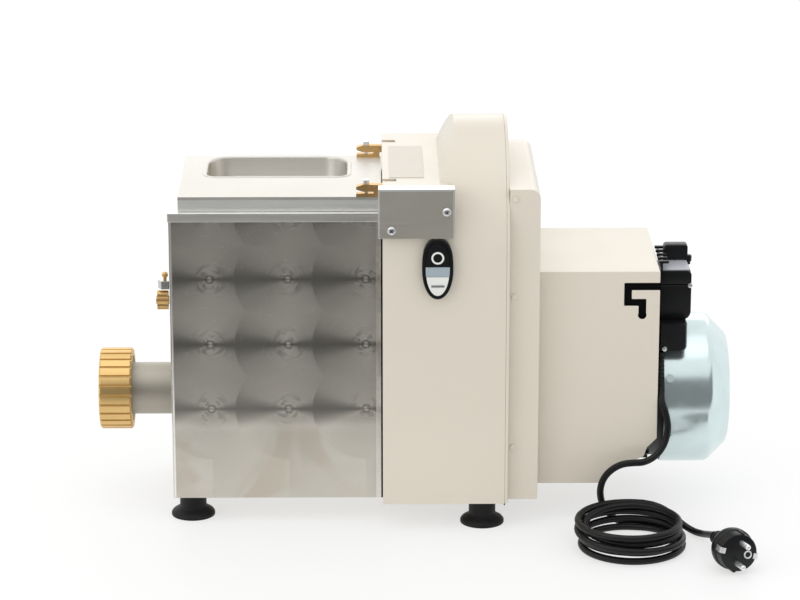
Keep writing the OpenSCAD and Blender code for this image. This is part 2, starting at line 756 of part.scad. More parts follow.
module gear(teeth, x0, b, y, z, turn, bore) difference() {
    translate([0, y, z]) extrude_x(x0, x0 + b) polygon(gear_points(teeth, turn));
    rod_x(x0 - 1, x0 + b + 1, bore, y, z);
    if (teeth > 30) for (i = [0 : 5]) rod_x(x0 - 1, x0 + b + 1, 8,
        y + 27 * cos(60 * i), z + 27 * sin(60 * i));
}

// Turn of a gear that meshes at direction d with a gear of n teeth that has a tooth at t
function mesh_turn(d, n, t, teeth) = let (phase = (d - t) * n / 360) d + 180 - (0.5 - phase) * 360 / teeth;

auger_turn = counter_dir;
pinion_turn = mesh_turn(counter_dir, wheel_teeth, auger_turn, pinion_teeth);
mixer_turn = mesh_turn(90, wheel_teeth, auger_turn, mixer_teeth);
counter_turn = counter_dir + 180;
motor_turn = mesh_turn(counter_dir + 180, wheel_teeth, counter_turn, pinion_teeth);

module auger_gear() placed() color("goldenrod")
    gear(wheel_teeth, x_gear_b, gear_b, 0, auger_z, auger_turn, auger_neck);

module mixer_gear() placed() color("goldenrod")
    gear(mixer_teeth, x_gear_b, gear_b, 0, mixer_z, mixer_turn, mixer_r);

module counter_gear() placed() color("goldenrod")
    gear(wheel_teeth, x_gear_a, gear_b, counter_y, counter_z, counter_turn, counter_r);

// A pinion is cut on its own shaft
module counter_shaft() placed() color("silver") {
    rod_x(x_mid_plate + 1, x_plate - 1, counter_r, counter_y, counter_z);
    translate([0, counter_y, counter_z]) extrude_x(x_gear_b - 1, x_gear_b + gear_b + 1)
        polygon(gear_points(pinion_teeth, pinion_turn));
}

// Outline of the flight: a wedge whose angle gives it its thickness along the axis
flight_angle = 40;
module flight_outline() polygon(concat(
    [for (a = [0 : 10 : flight_angle]) auger_r * [cos(a), sin(a)]],
    [for (a = [flight_angle : -20 : 0]) 6 * [cos(a), sin(a)]]
));

flight_x0 = x_head + 3;
flight_l = x_in1 - 2 - flight_x0;
module auger() placed() color("silver") {
    rod_x(x_head + 1, x_in1 - 1, 9, 0, auger_z);
    rod_x(x_in1 - 1 - eps, x_front_face + 10, auger_journal, 0, auger_z);
    rod_x(x_front_face + 10 - eps, x_gear_b + gear_b + 1, auger_neck, 0, auger_z);
    translate([flight_x0, 0, auger_z]) rotate([90, 0, 90])
        linear_extrude(height = flight_l, twist = -360 * flight_l / auger_pitch,
            slices = ceil(flight_l / auger_pitch * 16), $fn = 8) flight_outline();
}

// The mixing shaft: four paddles at quarter turns
paddle_r = trough_r - 6;
module mixer() placed() color("silver") {
    rod_x(x_tr0, x_in1 - 3, mixer_r, 0, mixer_z);
    rod_x(x_in1 - 3 - eps, x_front_face + 6, mixer_journal, 0, mixer_z);
    rod_x(x_front_face + 6 - eps, x_plate - 1, mixer_r, 0, mixer_z);
    for (i = [0 : 3]) translate([x_in0 + 24 + 44 * i, 0, mixer_z]) rotate([90 * i, 0, 0]) {
        cylinder(h = paddle_r - 6, r = 5);
        translate([-14, -3, paddle_r - 26]) cube([28, 6, 24]);
    }
}

module plate_outline() polygon(rounded(gear_plate_y, gear_plate_z, [8, 8, 8, 8]));

module front_gear_plate() placed() color("lightgray") difference() {
    extrude_x(x_front_plate, x_front_face) plate_outline();
    rod_x(x_front_plate - 1, x_front_face + 1, auger_journal + bush_t + seat_gap, 0, auger_z);
    rod_x(x_front_plate - 1, x_front_face + 1, mixer_journal + bush_t + seat_gap, 0, mixer_z);
}

module middle_gear_plate() placed() color("lightgray") difference() {
    union() {
        extrude_x(x_mid_plate, x_mid_face) plate_outline();
        for (p = pillars) rod_x(x_front_face, x_mid_plate + 1, pillar_r, p[0], p[1]);
    }
    rod_x(x_mid_plate - 1, x_mid_face + 1, auger_neck + bush_t + seat_gap, 0, auger_z);
    rod_x(x_mid_plate - 1, x_mid_face + 1, mixer_r + 4, 0, mixer_z);
    rod_x(x_mid_plate - 1, x_mid_face + 1, counter_r + bush_t + seat_gap, counter_y, counter_z);
}

module rear_gear_plate() placed() color("lightgray") difference() {
    union() {
        extrude_x(x_rear_plate, x_plate) plate_outline();
        for (p = pillars) rod_x(x_mid_face, x_rear_plate + 1, pillar_r, p[0], p[1]);
    }
    rod_x(x_rear_plate - 1, x_plate + 1, mixer_r + bush_t + seat_gap, 0, mixer_z);
    rod_x(x_rear_plate - 1, x_plate + 1, shaft_r + 6, 0, motor_z);
    rod_x(x_rear_plate - 1, x_plate + 1, counter_r + bush_t + seat_gap, counter_y, counter_z);
}

// A bush through a wall, with a flange at its +X end
module bush(x0, x1, bore, y, z) difference() {
    union() {
        rod_x(x0, x1, bore + bush_t, y, z);
        rod_x(x1 - eps, x1 + flange_t, bore + bush_t + 4, y, z);
    }
    rod_x(x0 - 1, x1 + flange_t + 1, bore + run_gap, y, z);
}

module plain_bush(x0, x1, bore, y, z) ring_x(x0, x1, bore + bush_t, bore + run_gap, y, z);

// Two bushes carry the auger, three the mixing shaft and two the counter shaft
module shaft_bushes() placed() color("darkgoldenrod") {
    bush(x_in1, x_front_face, auger_journal, 0, auger_z);
    plain_bush(x_mid_plate, x_mid_face, auger_neck, 0, auger_z);
    plain_bush(x_hop, x_in0, mixer_r, 0, mixer_z);
    bush(x_in1, x_front_face, mixer_journal, 0, mixer_z);
    plain_bush(x_rear_plate, x_plate, mixer_r, 0, mixer_z);
    plain_bush(x_mid_plate, x_mid_face, counter_r, counter_y, counter_z);
    plain_bush(x_rear_plate, x_plate, counter_r, counter_y, counter_z);
}

// ---------------------------------------------------------------- motor

module motor_front_shield() placed() color("lightgray") difference() {
    union() {
        rod_x(x_box, x_box + 6, frame_r - 6, 0, motor_z);
        rod_x(x_box + 5, x_flange_end, frame_r - 12, 0, motor_z);
        rod_x(x_flange_end - 8, x_flange_end, frame_r, 0, motor_z);
    }
    rod_x(x_box - 1, x_flange_end + 1, shaft_r + 4, 0, motor_z);
    rod_x(x_flange_end - bearing_l, x_flange_end + 1, bearing_r + seat_gap, 0, motor_z);
}

module motor_frame() placed() color("gainsboro") difference() {
    union() {
        rod_x(x_flange_end, x_shield, frame_r, 0, motor_z);
        for (i = [0 : 23]) translate([x_flange_end + 4, 0, motor_z]) rotate([15 * i + 7.5, 0, 0])
            translate([0, -1.25, frame_r - 2]) cube([x_shield - x_flange_end - 8, 2.5, fin_h + 2]);
    }
    rod_x(x_flange_end - 1, x_shield + 1, frame_bore, 0, motor_z);
}

module cowl_screw_places() for (s = [-1, 1]) for (t = [0, 1])
    translate([(x_cowl + x_shield_end) / 2, 0, motor_z])
        rotate([s * (90 - screw_angle) + 180 * t, 0, 0]) children();

module motor_rear_shield() placed() color("gray") difference() {
    union() {
        rod_x(x_shield, x_cowl, frame_r, 0, motor_z);
        rod_x(x_cowl, x_shield_end, cowl_r - cowl_t - seat_gap, 0, motor_z);
    }
    rod_x(x_shield - 1, x_shield_end + 1, shaft_r + 4, 0, motor_z);
    rod_x(x_shield - 1, x_shield + bearing_l, bearing_r + seat_gap, 0, motor_z);
    cowl_screw_places() cylinder(h = cowl_r + 5, r = 2 + seat_gap);
}

module motor_bearings() placed() color("silver") {
    ring_x(x_flange_end - bearing_l, x_flange_end, bearing_r, shaft_r + run_gap, 0, motor_z);
    ring_x(x_shield, x_shield + bearing_l, bearing_r, shaft_r + run_gap, 0, motor_z);
}

module stator() placed() color("peru")
    ring_x(x_stator, x_stator + stator_l, frame_bore, stator_bore, 0, motor_z);

module rotor() placed() color("gray")
    ring_x(x_stator, x_stator + stator_l, stator_bore - air_gap, shaft_r, 0, motor_z);

module motor_shaft() placed() color("silver") {
    rod_x(x_gear_a - 2, x_fan + 20, shaft_r, 0, motor_z);
    translate([0, 0, motor_z]) extrude_x(x_gear_a - 1, x_gear_a + gear_b + 1)
        polygon(gear_points(pinion_teeth, motor_turn));
}

module fan() placed() color("black") difference() {
    union() {
        rod_x(x_fan, x_fan + 18, fan_hub_r, 0, motor_z);
        rod_x(x_fan, x_fan + 2, fan_r, 0, motor_z);
        for (i = [0 : 6]) translate([x_fan + 1, 0, motor_z]) rotate([360 / 7 * i, 0, 0])
            translate([0, -1, fan_hub_r - 4]) cube([14, 2, fan_r - fan_hub_r + 4]);
    }
    rod_x(x_fan - 1, x_fan + 20, shaft_r, 0, motor_z);
}

// Profile of the cowl in (radius, x): a cylinder, a cone at 45 degrees and a slightly domed end,
// with the same round on both edges
cowl_round = 8;
cowl_dome = 1;
end_x = x_end - cowl_dome - cowl_round;
cone_x = end_x + cowl_end_r - (cowl_r - cowl_round);
function arc(r, x, a0, a1, inset) = [for (a = [a0 : 15 : a1])
    [r + (cowl_round - inset) * cos(a), x + (cowl_round - inset) * sin(a)]];
function cowl_profile(inset) = concat(
    [[0, x_cowl - (inset > 0 ? 1 : 0)], [cowl_r - inset, x_cowl - (inset > 0 ? 1 : 0)]],
    arc(cowl_r - cowl_round, cone_x, 0, 45, inset),
    arc(cowl_end_r, end_x, 45, 90, inset),
    [[0, x_end - inset]]
);

module fan_cowl() placed() color("lightsteelblue") difference() {
    translate([0, 0, motor_z]) rotate([0, 90, 0]) difference() {
        rotate_extrude($fn = 96) polygon(cowl_profile(0));
        rotate_extrude($fn = 96) polygon(cowl_profile(cowl_t));
    }
    for (i = [0 : 15]) translate([x_end - 5, 0, motor_z]) rotate([22.5 * i, 0, 0])
        translate([0, -1.7, 16]) cube([10, 3.4, 27]);
    cowl_screw_places() cylinder(h = cowl_r + 5, r = 2 + seat_gap);
}

module cowl_screws() placed() color("silver") cowl_screw_places() {
    translate([0, 0, cowl_r - 10]) cylinder(h = 11, r = 2);
    translate([0, 0, cowl_r + 0.15]) cylinder(h = 2.6, r = 4);
}

// ---------------------------------------------------------------- electrical

// Three joined housings behind the cover, and a comb of five ribs that guides the wires
box_near_y = -50;
box_mid_y = -17;
box_near_top = 236;
box_tall_top = 254;
box_near_bottom = 187.5;
comb_z = cover_top + 1;
module terminal_box() placed() color("black") difference() {
    union() {
        block([x_gap + 1.5, x_gap + 31.5], [box_near_y, box_mid_y], [box_near_bottom, box_near_top]);
        block([x_gap + 8, x_gap + 30.5], [box_mid_y - eps, box_mid_y + 12],
            [box_near_bottom - 8, box_tall_top]);
        block([x_gap + 1.5, x_gap + 27.5], [-62, 30], [box_low_z, box_near_bottom + eps]);
        block([x_gap + 3, x_gap + 4.5], [box_near_y, box_mid_y + 20.4], [box_near_top - eps, comb_z + 1]);
        for (i = [0 : 4]) translate([x_gap + 1, box_near_y + 12.6 * i, comb_z]) cube([8, 3, 1.5]);
    }
    rod_x(x_gap, x_gap + 40, cowl_r + seat_gap, 0, motor_z);
}

module run_capacitor() placed() color("gainsboro")
    rod_x(x_plate - 62, x_plate, 18, 40, hood_z + 33);

// ---------------------------------------------------------------- feet

// Profile of a foot in (radius, z), with a hollow under its flange
function foot_profile(h) = [
    [3 + seat_gap, 6], [15, 1.5], [15.5, 0], [flange_r, 0], [flange_r, 2.5], [flange_r - 1.5, 4.5],
    [foot_r + 1, 8], [foot_r, 10], [foot_r, h], [3 + seat_gap, h]
];

module at_feet() {
    both_sides() translate([front_foot_x, front_foot_y, 0]) children(0);
    both_sides() translate([rear_foot_x, rear_foot_y, 0]) children(1);
}

module feet() placed() color("black") at_feet() {
    rotate_extrude() polygon(foot_profile(hopper_z0));
    rotate_extrude() polygon(foot_profile(casing_z0));
}

module foot_screw(h) {
    translate([0, 0, 2.8]) cylinder(h = 2.2, r = 5.5, $fn = 6);
    translate([0, 0, 4.9]) cylinder(h = h + 1, r = 3);
}

module foot_screws() placed() color("silver") at_feet() {
    foot_screw(hopper_z0);
    foot_screw(casing_z0);
}

// ---------------------------------------------------------------- mains cord

// Direction from one point to another
function unit(v) = v / norm(v);
function tangent(pts, i) = let (n = len(pts)) unit(pts[min(i + 1, n - 1)] - pts[max(i - 1, 0)]);

// A tube along a path. Each ring is turned to line up with the one before it.
function next_u(d, u) = unit(u - (u * d) * d);
function frames(pts, i = 0, u = [0.3, 0.2, 1]) = i == len(pts) ? [] : let (
    d = tangent(pts, i), w = next_u(d, u)
) concat([[d, w]], frames(pts, i + 1, w));

module tube(pts, r, sides) {
    n = len(pts);
    fr = frames(pts);
    rings = [for (i = [0 : n - 1]) let (d = fr[i][0], u = fr[i][1], v = cross(d, u))
        for (k = [0 : sides - 1]) pts[i] + r * (cos(360 / sides * k) * u + sin(360 / sides * k) * v)];
    walls = [for (i = [0 : n - 2]) for (k = [0 : sides - 1]) let (
        a = i * sides + k, b = i * sides + (k + 1) % sides)
        for (f = [[a, b, b + sides], [a, b + sides, a + sides]]) f];
    caps = [for (k = [1 : sides - 2]) for (f = [[0, k + 1, k],
        [(n - 1) * sides, (n - 1) * sides + k, (n - 1) * sides + k + 1]]) f];
    polyhedron(points = rings, faces = concat(walls, caps));
}

// The coil: loops that spiral in and out again, a layer higher each time, wound clockwise
// as seen from above. It climbs in the half turn at the end of each layer.
coil_steps = coil_turns * coil_rings;
layer_steps = coil_steps / coil_layers;
function coil_share(i) = (i % layer_steps) / layer_steps;
function coil_radius(i) = let (layer = floor(i / layer_steps), s = coil_share(i))
    layer % 2 == 0 ? coil_out_r + (coil_in_r - coil_out_r) * s : coil_in_r + (coil_out_r - coil_in_r) * s;
function climb(i) = let (
    w = coil_rings / 4,
    near = round(i / layer_steps),
    off = i - near * layer_steps
) near == 0 || near == coil_layers ? floor(i / layer_steps - (near == coil_layers ? eps : 0))
    : abs(off) < w ? near - 0.5 + off / w / 2 : (off < 0 ? near - 1 : near);
function coil_point(i) = let (a = coil_start - 360 / coil_rings * i, r = coil_radius(i))
    [coil_at[0] + r * cos(a), coil_at[1] + r * sin(a), cord_r + layer_h * climb(i)];
function coil_heading(i) = let (a = coil_start - 360 / coil_rings * i) [sin(a), -cos(a), 0];
coil_path = concat(
    [coil_point(0) - cord_d * coil_heading(0)],
    [for (i = [0 : coil_steps]) coil_point(i)],
    [coil_point(coil_steps) + cord_d * coil_heading(coil_steps)]
);
lead_path = concat([cord_exit], lead_route, [coil_path[0]]);

// Plug: its axis, from the strain relief to the face
plug_l = 62;
module at_plug() translate(plug_back) rotate([0, 90 - plug_tilt, plug_turn])
    rotate([0, 0, plug_roll]) children();
tail_path = concat([coil_path[len(coil_path) - 1]], tail_route, [plug_back]);

// Least gap between stretches of the coil that are more than half a loop apart
coil_gap = min([for (i = [0 : coil_steps - coil_rings / 2]) for (j = [i + coil_rings / 2 : coil_steps])
    norm(coil_point(i) - coil_point(j))]) - cord_d;
echo(least_gap_of_the_coil_to_itself = coil_gap);

// Strain relief of the cord, a little wider than the cord, down the gap behind the cover
gland_path = concat(gland_route, [cord_exit]);
module cord_gland() placed() color("black") tube(gland_path, cord_r + 0.6, 12);

module cord_lead() placed() color("black") tube(lead_path, cord_r, 8);
module cord_coil() placed() color("black") tube(coil_path, cord_r, 6);
module cord_tail() placed() color("black") tube(tail_path, cord_r, 8);

// Plug: ribbed strain relief, waist and round body with two flats and a hollow at each side
plug_r = 19;
module plug_body() placed() color("black") at_plug() difference() {
    union() {
        rotate_extrude() polygon([[0, 0], [5.2, 0], [6.6, 16], [8.5, 19], [9.5, 24], [12, 28], [15.5, 34],
            [17.5, 41], [plug_r, 46], [plug_r, plug_l], [0, plug_l]]);
        for (i = [0 : 3]) translate([0, 0, 1.5 + 3.8 * i]) cylinder(h = 2, r = 6.4 + 0.4 * i);
    }
    for (s = [-1, 1]) translate([s * 25.4, 0, plug_l - 12]) cylinder(h = 13, r = 8);
    for (s = [-1, 1]) translate([0, s * 9.5, plug_l - 8]) cylinder(h = 9, r = 2.4 + seat_gap);
}

module plug_pins() placed() color("silver") at_plug() for (s = [-1, 1])
    translate([0, s * 9.5, plug_l - 8]) cylinder(h = 27, r = 2.4);

// ---------------------------------------------------------------- the model

hopper_shell();
hopper_rim();
mixing_trough();
extruder_barrel();
pasta_die();
thrust_washer();
ring_nut();
cutter_bracket();
index_pin();
wing_screw();
front_casing();
back_plate();
rear_box();
motor_cover();
hinge_cover();
hinge_cover_screws();
hinge_blocks();
lid_sensor();
marking_plate();
lid();
lid_tray();
hinge_arms();
arm_screws();
hinge_shaft();
switch_bezel();
switch_body();
pilot_lens();
stop_button();
start_button();
front_gear_plate();
middle_gear_plate();
rear_gear_plate();
shaft_bushes();
auger();
auger_gear();
mixer();
mixer_gear();
counter_shaft();
counter_gear();
motor_front_shield();
motor_frame();
motor_rear_shield();
motor_bearings();
stator();
motor_shaft();
rotor();
fan();
fan_cowl();
cowl_screws();
terminal_box();
run_capacitor();
side_screws();
feet();
foot_screws();
cord_gland();
cord_lead();
cord_coil();
cord_tail();
plug_body();
plug_pins();
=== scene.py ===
"""Looks of the electric pasta maker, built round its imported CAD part."""
import json
import math

import bmesh
import bpy
from mathutils import Matrix, Vector

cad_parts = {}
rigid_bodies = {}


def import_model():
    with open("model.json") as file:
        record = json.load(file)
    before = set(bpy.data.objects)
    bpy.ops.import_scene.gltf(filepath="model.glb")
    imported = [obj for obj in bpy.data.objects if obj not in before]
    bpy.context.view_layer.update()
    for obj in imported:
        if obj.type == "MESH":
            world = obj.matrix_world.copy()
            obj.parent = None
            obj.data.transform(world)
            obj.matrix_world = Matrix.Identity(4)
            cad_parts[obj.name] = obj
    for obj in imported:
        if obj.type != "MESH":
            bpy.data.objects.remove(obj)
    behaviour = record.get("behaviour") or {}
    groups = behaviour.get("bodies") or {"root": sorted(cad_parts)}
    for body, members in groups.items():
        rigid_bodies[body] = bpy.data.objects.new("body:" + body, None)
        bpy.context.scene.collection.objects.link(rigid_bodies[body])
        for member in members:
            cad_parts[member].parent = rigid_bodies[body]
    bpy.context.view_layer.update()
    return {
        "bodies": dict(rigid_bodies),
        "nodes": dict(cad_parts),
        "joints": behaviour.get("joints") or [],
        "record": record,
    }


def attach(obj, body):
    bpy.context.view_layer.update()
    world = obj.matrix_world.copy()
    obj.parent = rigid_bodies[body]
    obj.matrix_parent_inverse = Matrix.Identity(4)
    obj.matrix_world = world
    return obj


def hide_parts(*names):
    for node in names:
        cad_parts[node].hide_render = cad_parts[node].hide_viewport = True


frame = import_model()
nodes = frame["nodes"]
scene = bpy.context.scene

MM = 0.001
MID = 6.25  # distance of the machine's middle plane from the frame's, along Y


def pt(x, y, z):
    """A point of the machine in mm, with y from its middle plane, as a point of the frame in metres."""
    return Vector((x * MM, (y + MID) * MM, z * MM))


# ---------------------------------------------------------------- camera, solved from the photograph
cam = bpy.data.objects.new("camera", bpy.data.cameras.new("camera"))
cam.location = (-0.04355, -3.01777, 1.10267)
cam.rotation_euler = (math.radians(90 - 16.74), 0, math.radians(-0.575))
cam.data.lens = 150.2
cam.data.sensor_width = 36
scene.collection.objects.link(cam)
scene.camera = cam

# ---------------------------------------------------------------- materials


class Graph:
    """A node tree under construction. Every helper but link returns a node or an output socket."""

    def __init__(self, tree):
        self.tree = tree

    def node(self, kind, **props):
        n = self.tree.nodes.new(kind)
        for key, value in props.items():
            setattr(n, key, value)
        return n

    def link(self, value, socket):
        if isinstance(value, bpy.types.NodeSocket):
            self.tree.links.new(value, socket)
        elif value is not None:
            socket.default_value = value

    def math(self, op, a, b=None, clamp=False):
        n = self.node("ShaderNodeMath", operation=op, use_clamp=clamp)
        for i, v in enumerate((a, b)):
            self.link(v, n.inputs[i])
        return n.outputs[0]

    def add(self, a, b):
        return self.math("ADD", a, b)

    def sub(self, a, b):
        return self.math("SUBTRACT", a, b)

    def mul(self, a, b, clamp=False):
        return self.math("MULTIPLY", a, b, clamp=clamp)

    def flip(self, a):
        return self.sub(1.0, a)

    def square(self, a):
        return self.math("POWER", a, 2.0)

    def length(self, a, b):
        return self.math("SQRT", self.add(self.square(a), self.square(b)))

    def split(self, vector):
        n = self.node("ShaderNodeSeparateXYZ")
        self.link(vector, n.inputs[0])
        return n.outputs

    def join(self, x, y, z):
        n = self.node("ShaderNodeCombineXYZ")
        for i, v in enumerate((x, y, z)):
            self.link(v, n.inputs[i])
        return n.outputs[0]

    def remap(self, value, lo, hi, out_lo=0.0, out_hi=1.0, smooth=False):
        n = self.node("ShaderNodeMapRange")
        n.interpolation_type = "SMOOTHSTEP" if smooth else "LINEAR"
        self.link(value, n.inputs["Value"])
        for key, v in zip(("From Min", "From Max", "To Min", "To Max"), (lo, hi, out_lo, out_hi)):
            n.inputs[key].default_value = v
        return n.outputs["Result"]

    def soft(self, value, lo, hi, out_lo=0.0, out_hi=1.0):
        return self.remap(value, lo, hi, out_lo, out_hi, smooth=True)

    def seen(self):
        """1 for rays from the camera, from metal and through glass, 0 for the light on surfaces."""
        path = self.node("ShaderNodeLightPath")
        total = path.outputs["Is Camera Ray"]
        for ray in ("Is Glossy Ray", "Is Transmission Ray"):
            total = self.math("MAXIMUM", total, path.outputs[ray])
        return total

    def either(self, fac, a, b):
        """One shader where fac is 0 and the other where it is 1."""
        n = self.node("ShaderNodeMixShader")
        for i, v in enumerate((fac, a, b)):
            self.link(v, n.inputs[i])
        return n.outputs[0]


class Shader(Graph):
    """A material round one principled shader."""

    def __init__(self, name, color, rough=0.5, metal=0.0, **sockets):
        self.mat = bpy.data.materials.new(name)
        self.mat.use_nodes = True
        super().__init__(self.mat.node_tree)
        self.bsdf = self.tree.nodes["Principled BSDF"]
        self.set("Base Color", (*color, 1))
        self.set("Roughness", rough)
        self.set("Metallic", metal)
        for key, value in sockets.items():
            self.set(key.replace("_", " ").title().replace("Ior", "IOR"), value)
        self.coord = self.node("ShaderNodeTexCoord")

    def set(self, socket, value):
        self.bsdf.inputs[socket].default_value = value

    @property
    def at(self):
        return self.coord.outputs["Object"]

    def scaled(self, sx, sy, sz):
        n = self.node("ShaderNodeVectorMath", operation="MULTIPLY")
        self.link(self.at, n.inputs[0])
        n.inputs[1].default_value = (sx, sy, sz)
        return n.outputs[0]

    def noise(self, scale, detail=3.0, rough=0.5, vector=None, distortion=0.0):
        n = self.node("ShaderNodeTexNoise")
        self.link(vector or self.at, n.inputs["Vector"])
        n.inputs["Scale"].default_value = scale
        n.inputs["Detail"].default_value = detail
        n.inputs["Roughness"].default_value = rough
        n.inputs["Distortion"].default_value = distortion
        return n.outputs["Fac"]

    def mix(self, fac, a, b):
        n = self.node("ShaderNodeMix", data_type="RGBA")
        self.link(fac, n.inputs["Factor"])
        for socket, v in ((n.inputs[6], a), (n.inputs[7], b)):
            self.link(v if isinstance(v, bpy.types.NodeSocket) else (*v, 1), socket)
        return n.outputs[2]

    def world_vector(self, vector):
        n = self.node("ShaderNodeVectorTransform", vector_type="VECTOR",
                      convert_from="OBJECT", convert_to="WORLD")
        self.link(vector, n.inputs[0])
        return n.outputs[0]

    def color(self, value):
        self.link(value, self.bsdf.inputs["Base Color"])

    def rough(self, value):
        self.link(value, self.bsdf.inputs["Roughness"])

    def bump(self, height, distance, strength=1.0):
        n = self.node("ShaderNodeBump")
        n.inputs["Strength"].default_value = strength
        n.inputs["Distance"].default_value = distance
        self.link(height, n.inputs["Height"])
        self.link(n.outputs[0], self.bsdf.inputs["Normal"])


def srgb(r, g, b):
    """A colour written as 0 to 255 on screen, as the renderer's linear colour."""
    return tuple(((c / 255 + 0.055) / 1.055) ** 2.4 if c > 10 else c / 255 / 12.92 for c in (r, g, b))


def shade(color, k):
    return tuple(min(1, c * k) for c in color)


# Where sheets are folded, and where a highlight is painted into their colour: axis, side and place in metres
RIM_FOLDS = ((2, "GREATER_THAN", 0.2996),)
LID_FOLDS = ((2, "LESS_THAN", 0.3115),)
GUARD_FOLDS = ((0, "LESS_THAN", -0.0324), (0, "GREATER_THAN", 0.0337), (2, "GREATER_THAN", 0.3293))
PANEL_ENDS = (-0.2238, -0.0362)  # the hopper's sides are folded beyond these, where a highlight is painted
FOLD_HIGHLIGHT = (1.0, 1.0, 0.97)  # the painted highlight colour beyond a fold


def brushed(name, color, along, rough=0.32, streak=0.10, aniso=0.0, folds=()):
    """Brushed metal with its grain along one axis of the frame, and a highlight painted beyond each fold."""
    s = Shader(name, color, rough, 1.0)
    if aniso:
        # rough across the grain: the tangent lies in the face, at right angles to the grain
        s.set("Anisotropic", aniso)
        cross = s.node("ShaderNodeVectorMath", operation="CROSS_PRODUCT")
        s.link(s.node("ShaderNodeNewGeometry").outputs["Normal"], cross.inputs[0])
        s.link(s.world_vector(s.join(*(1.0 if a == along else 0.0 for a in "xyz"))), cross.inputs[1])
        s.link(cross.outputs[0], s.bsdf.inputs["Tangent"])
    stretch = [900.0] * 3
    stretch["xyz".index(along)] = 14.0
    fine = s.noise(1.0, 2, 0.6, s.scaled(*stretch))
    wide = s.noise(9.0, 3, 0.55)
    dark, light = shade(color, 1 - streak), shade(color, 1 + streak)
    base = s.mix(wide, s.mix(fine, dark, light), s.mix(fine, shade(color, 0.93), shade(color, 1.05)))
    # painted highlight: beyond each fold the colour is mixed to near white
    for axis, side, place in folds:
        base = s.mix(s.math(side, s.split(s.at)[axis], place), base, FOLD_HIGHLIGHT)
    s.color(base)
    s.rough(s.remap(s.add(fine, wide), 0.6, 1.4, rough * 0.8, rough * 1.25))
    s.bump(fine, 0.00002, 0.5)
    return s.mat


def cast(name, color, rough=0.5, metal=1.0, grain=1400, depth=0.00006):
    """Cast or bead-blasted metal."""
    s = Shader(name, color, rough, metal)
    fine = s.noise(grain, 3, 0.6)
    wide = s.noise(35, 3, 0.5)
    s.color(s.mix(wide, shade(color, 0.86), shade(color, 1.1)))
    s.rough(s.remap(fine, 0.3, 0.7, rough * 0.85, rough * 1.15))
    s.bump(fine, depth, 0.6)
    return s.mat


def plastic(name, color, rough=0.35, spread=0.12, **sockets):
    """Moulded plastic or rubber with a fine grain."""
    s = Shader(name, color, rough, 0.0, **sockets)
    fine = s.noise(2500, 2, 0.5)
    wide = s.noise(40, 3, 0.6)
    s.color(s.mix(wide, shade(color, 1 - spread), shade(color, 1 + spread)))
    s.rough(s.remap(wide, 0.3, 0.7, rough * 0.85, rough * 1.2))
    s.bump(fine, 0.00002, 0.5)
    return s.mat


def enamel(name, color):
    """Sprayed enamel: an even colour with a faint orange peel and a few duller patches."""
    s = Shader(name, color, 0.36, 0.0, coat_weight=0.25, coat_roughness=0.12)
    wide = s.noise(5.0, 3, 0.5)
    s.color(s.mix(wide, shade(color, 0.965), shade(color, 1.03)))
    s.rough(s.remap(s.noise(14.0, 4, 0.6), 0.3, 0.7, 0.30, 0.44))
    s.bump(s.noise(420.0, 2, 0.5), 0.00005, 0.35)
    return s.mat


# Engine turning, in metres: discs in columns along the sheet and in rows up it
DISC_PITCH, ROW_PITCH, DISC_R = 0.0718, 0.0628, 0.0495
FIRST_DISC, MIDDLE_ROW, LOWEST_ROW = -0.1173, 0.1745, -1.0
TABLE_REFLECTION_HEIGHTS = (0.085, 0.10)  # below this height the table's reflection is painted into the sheet's colour
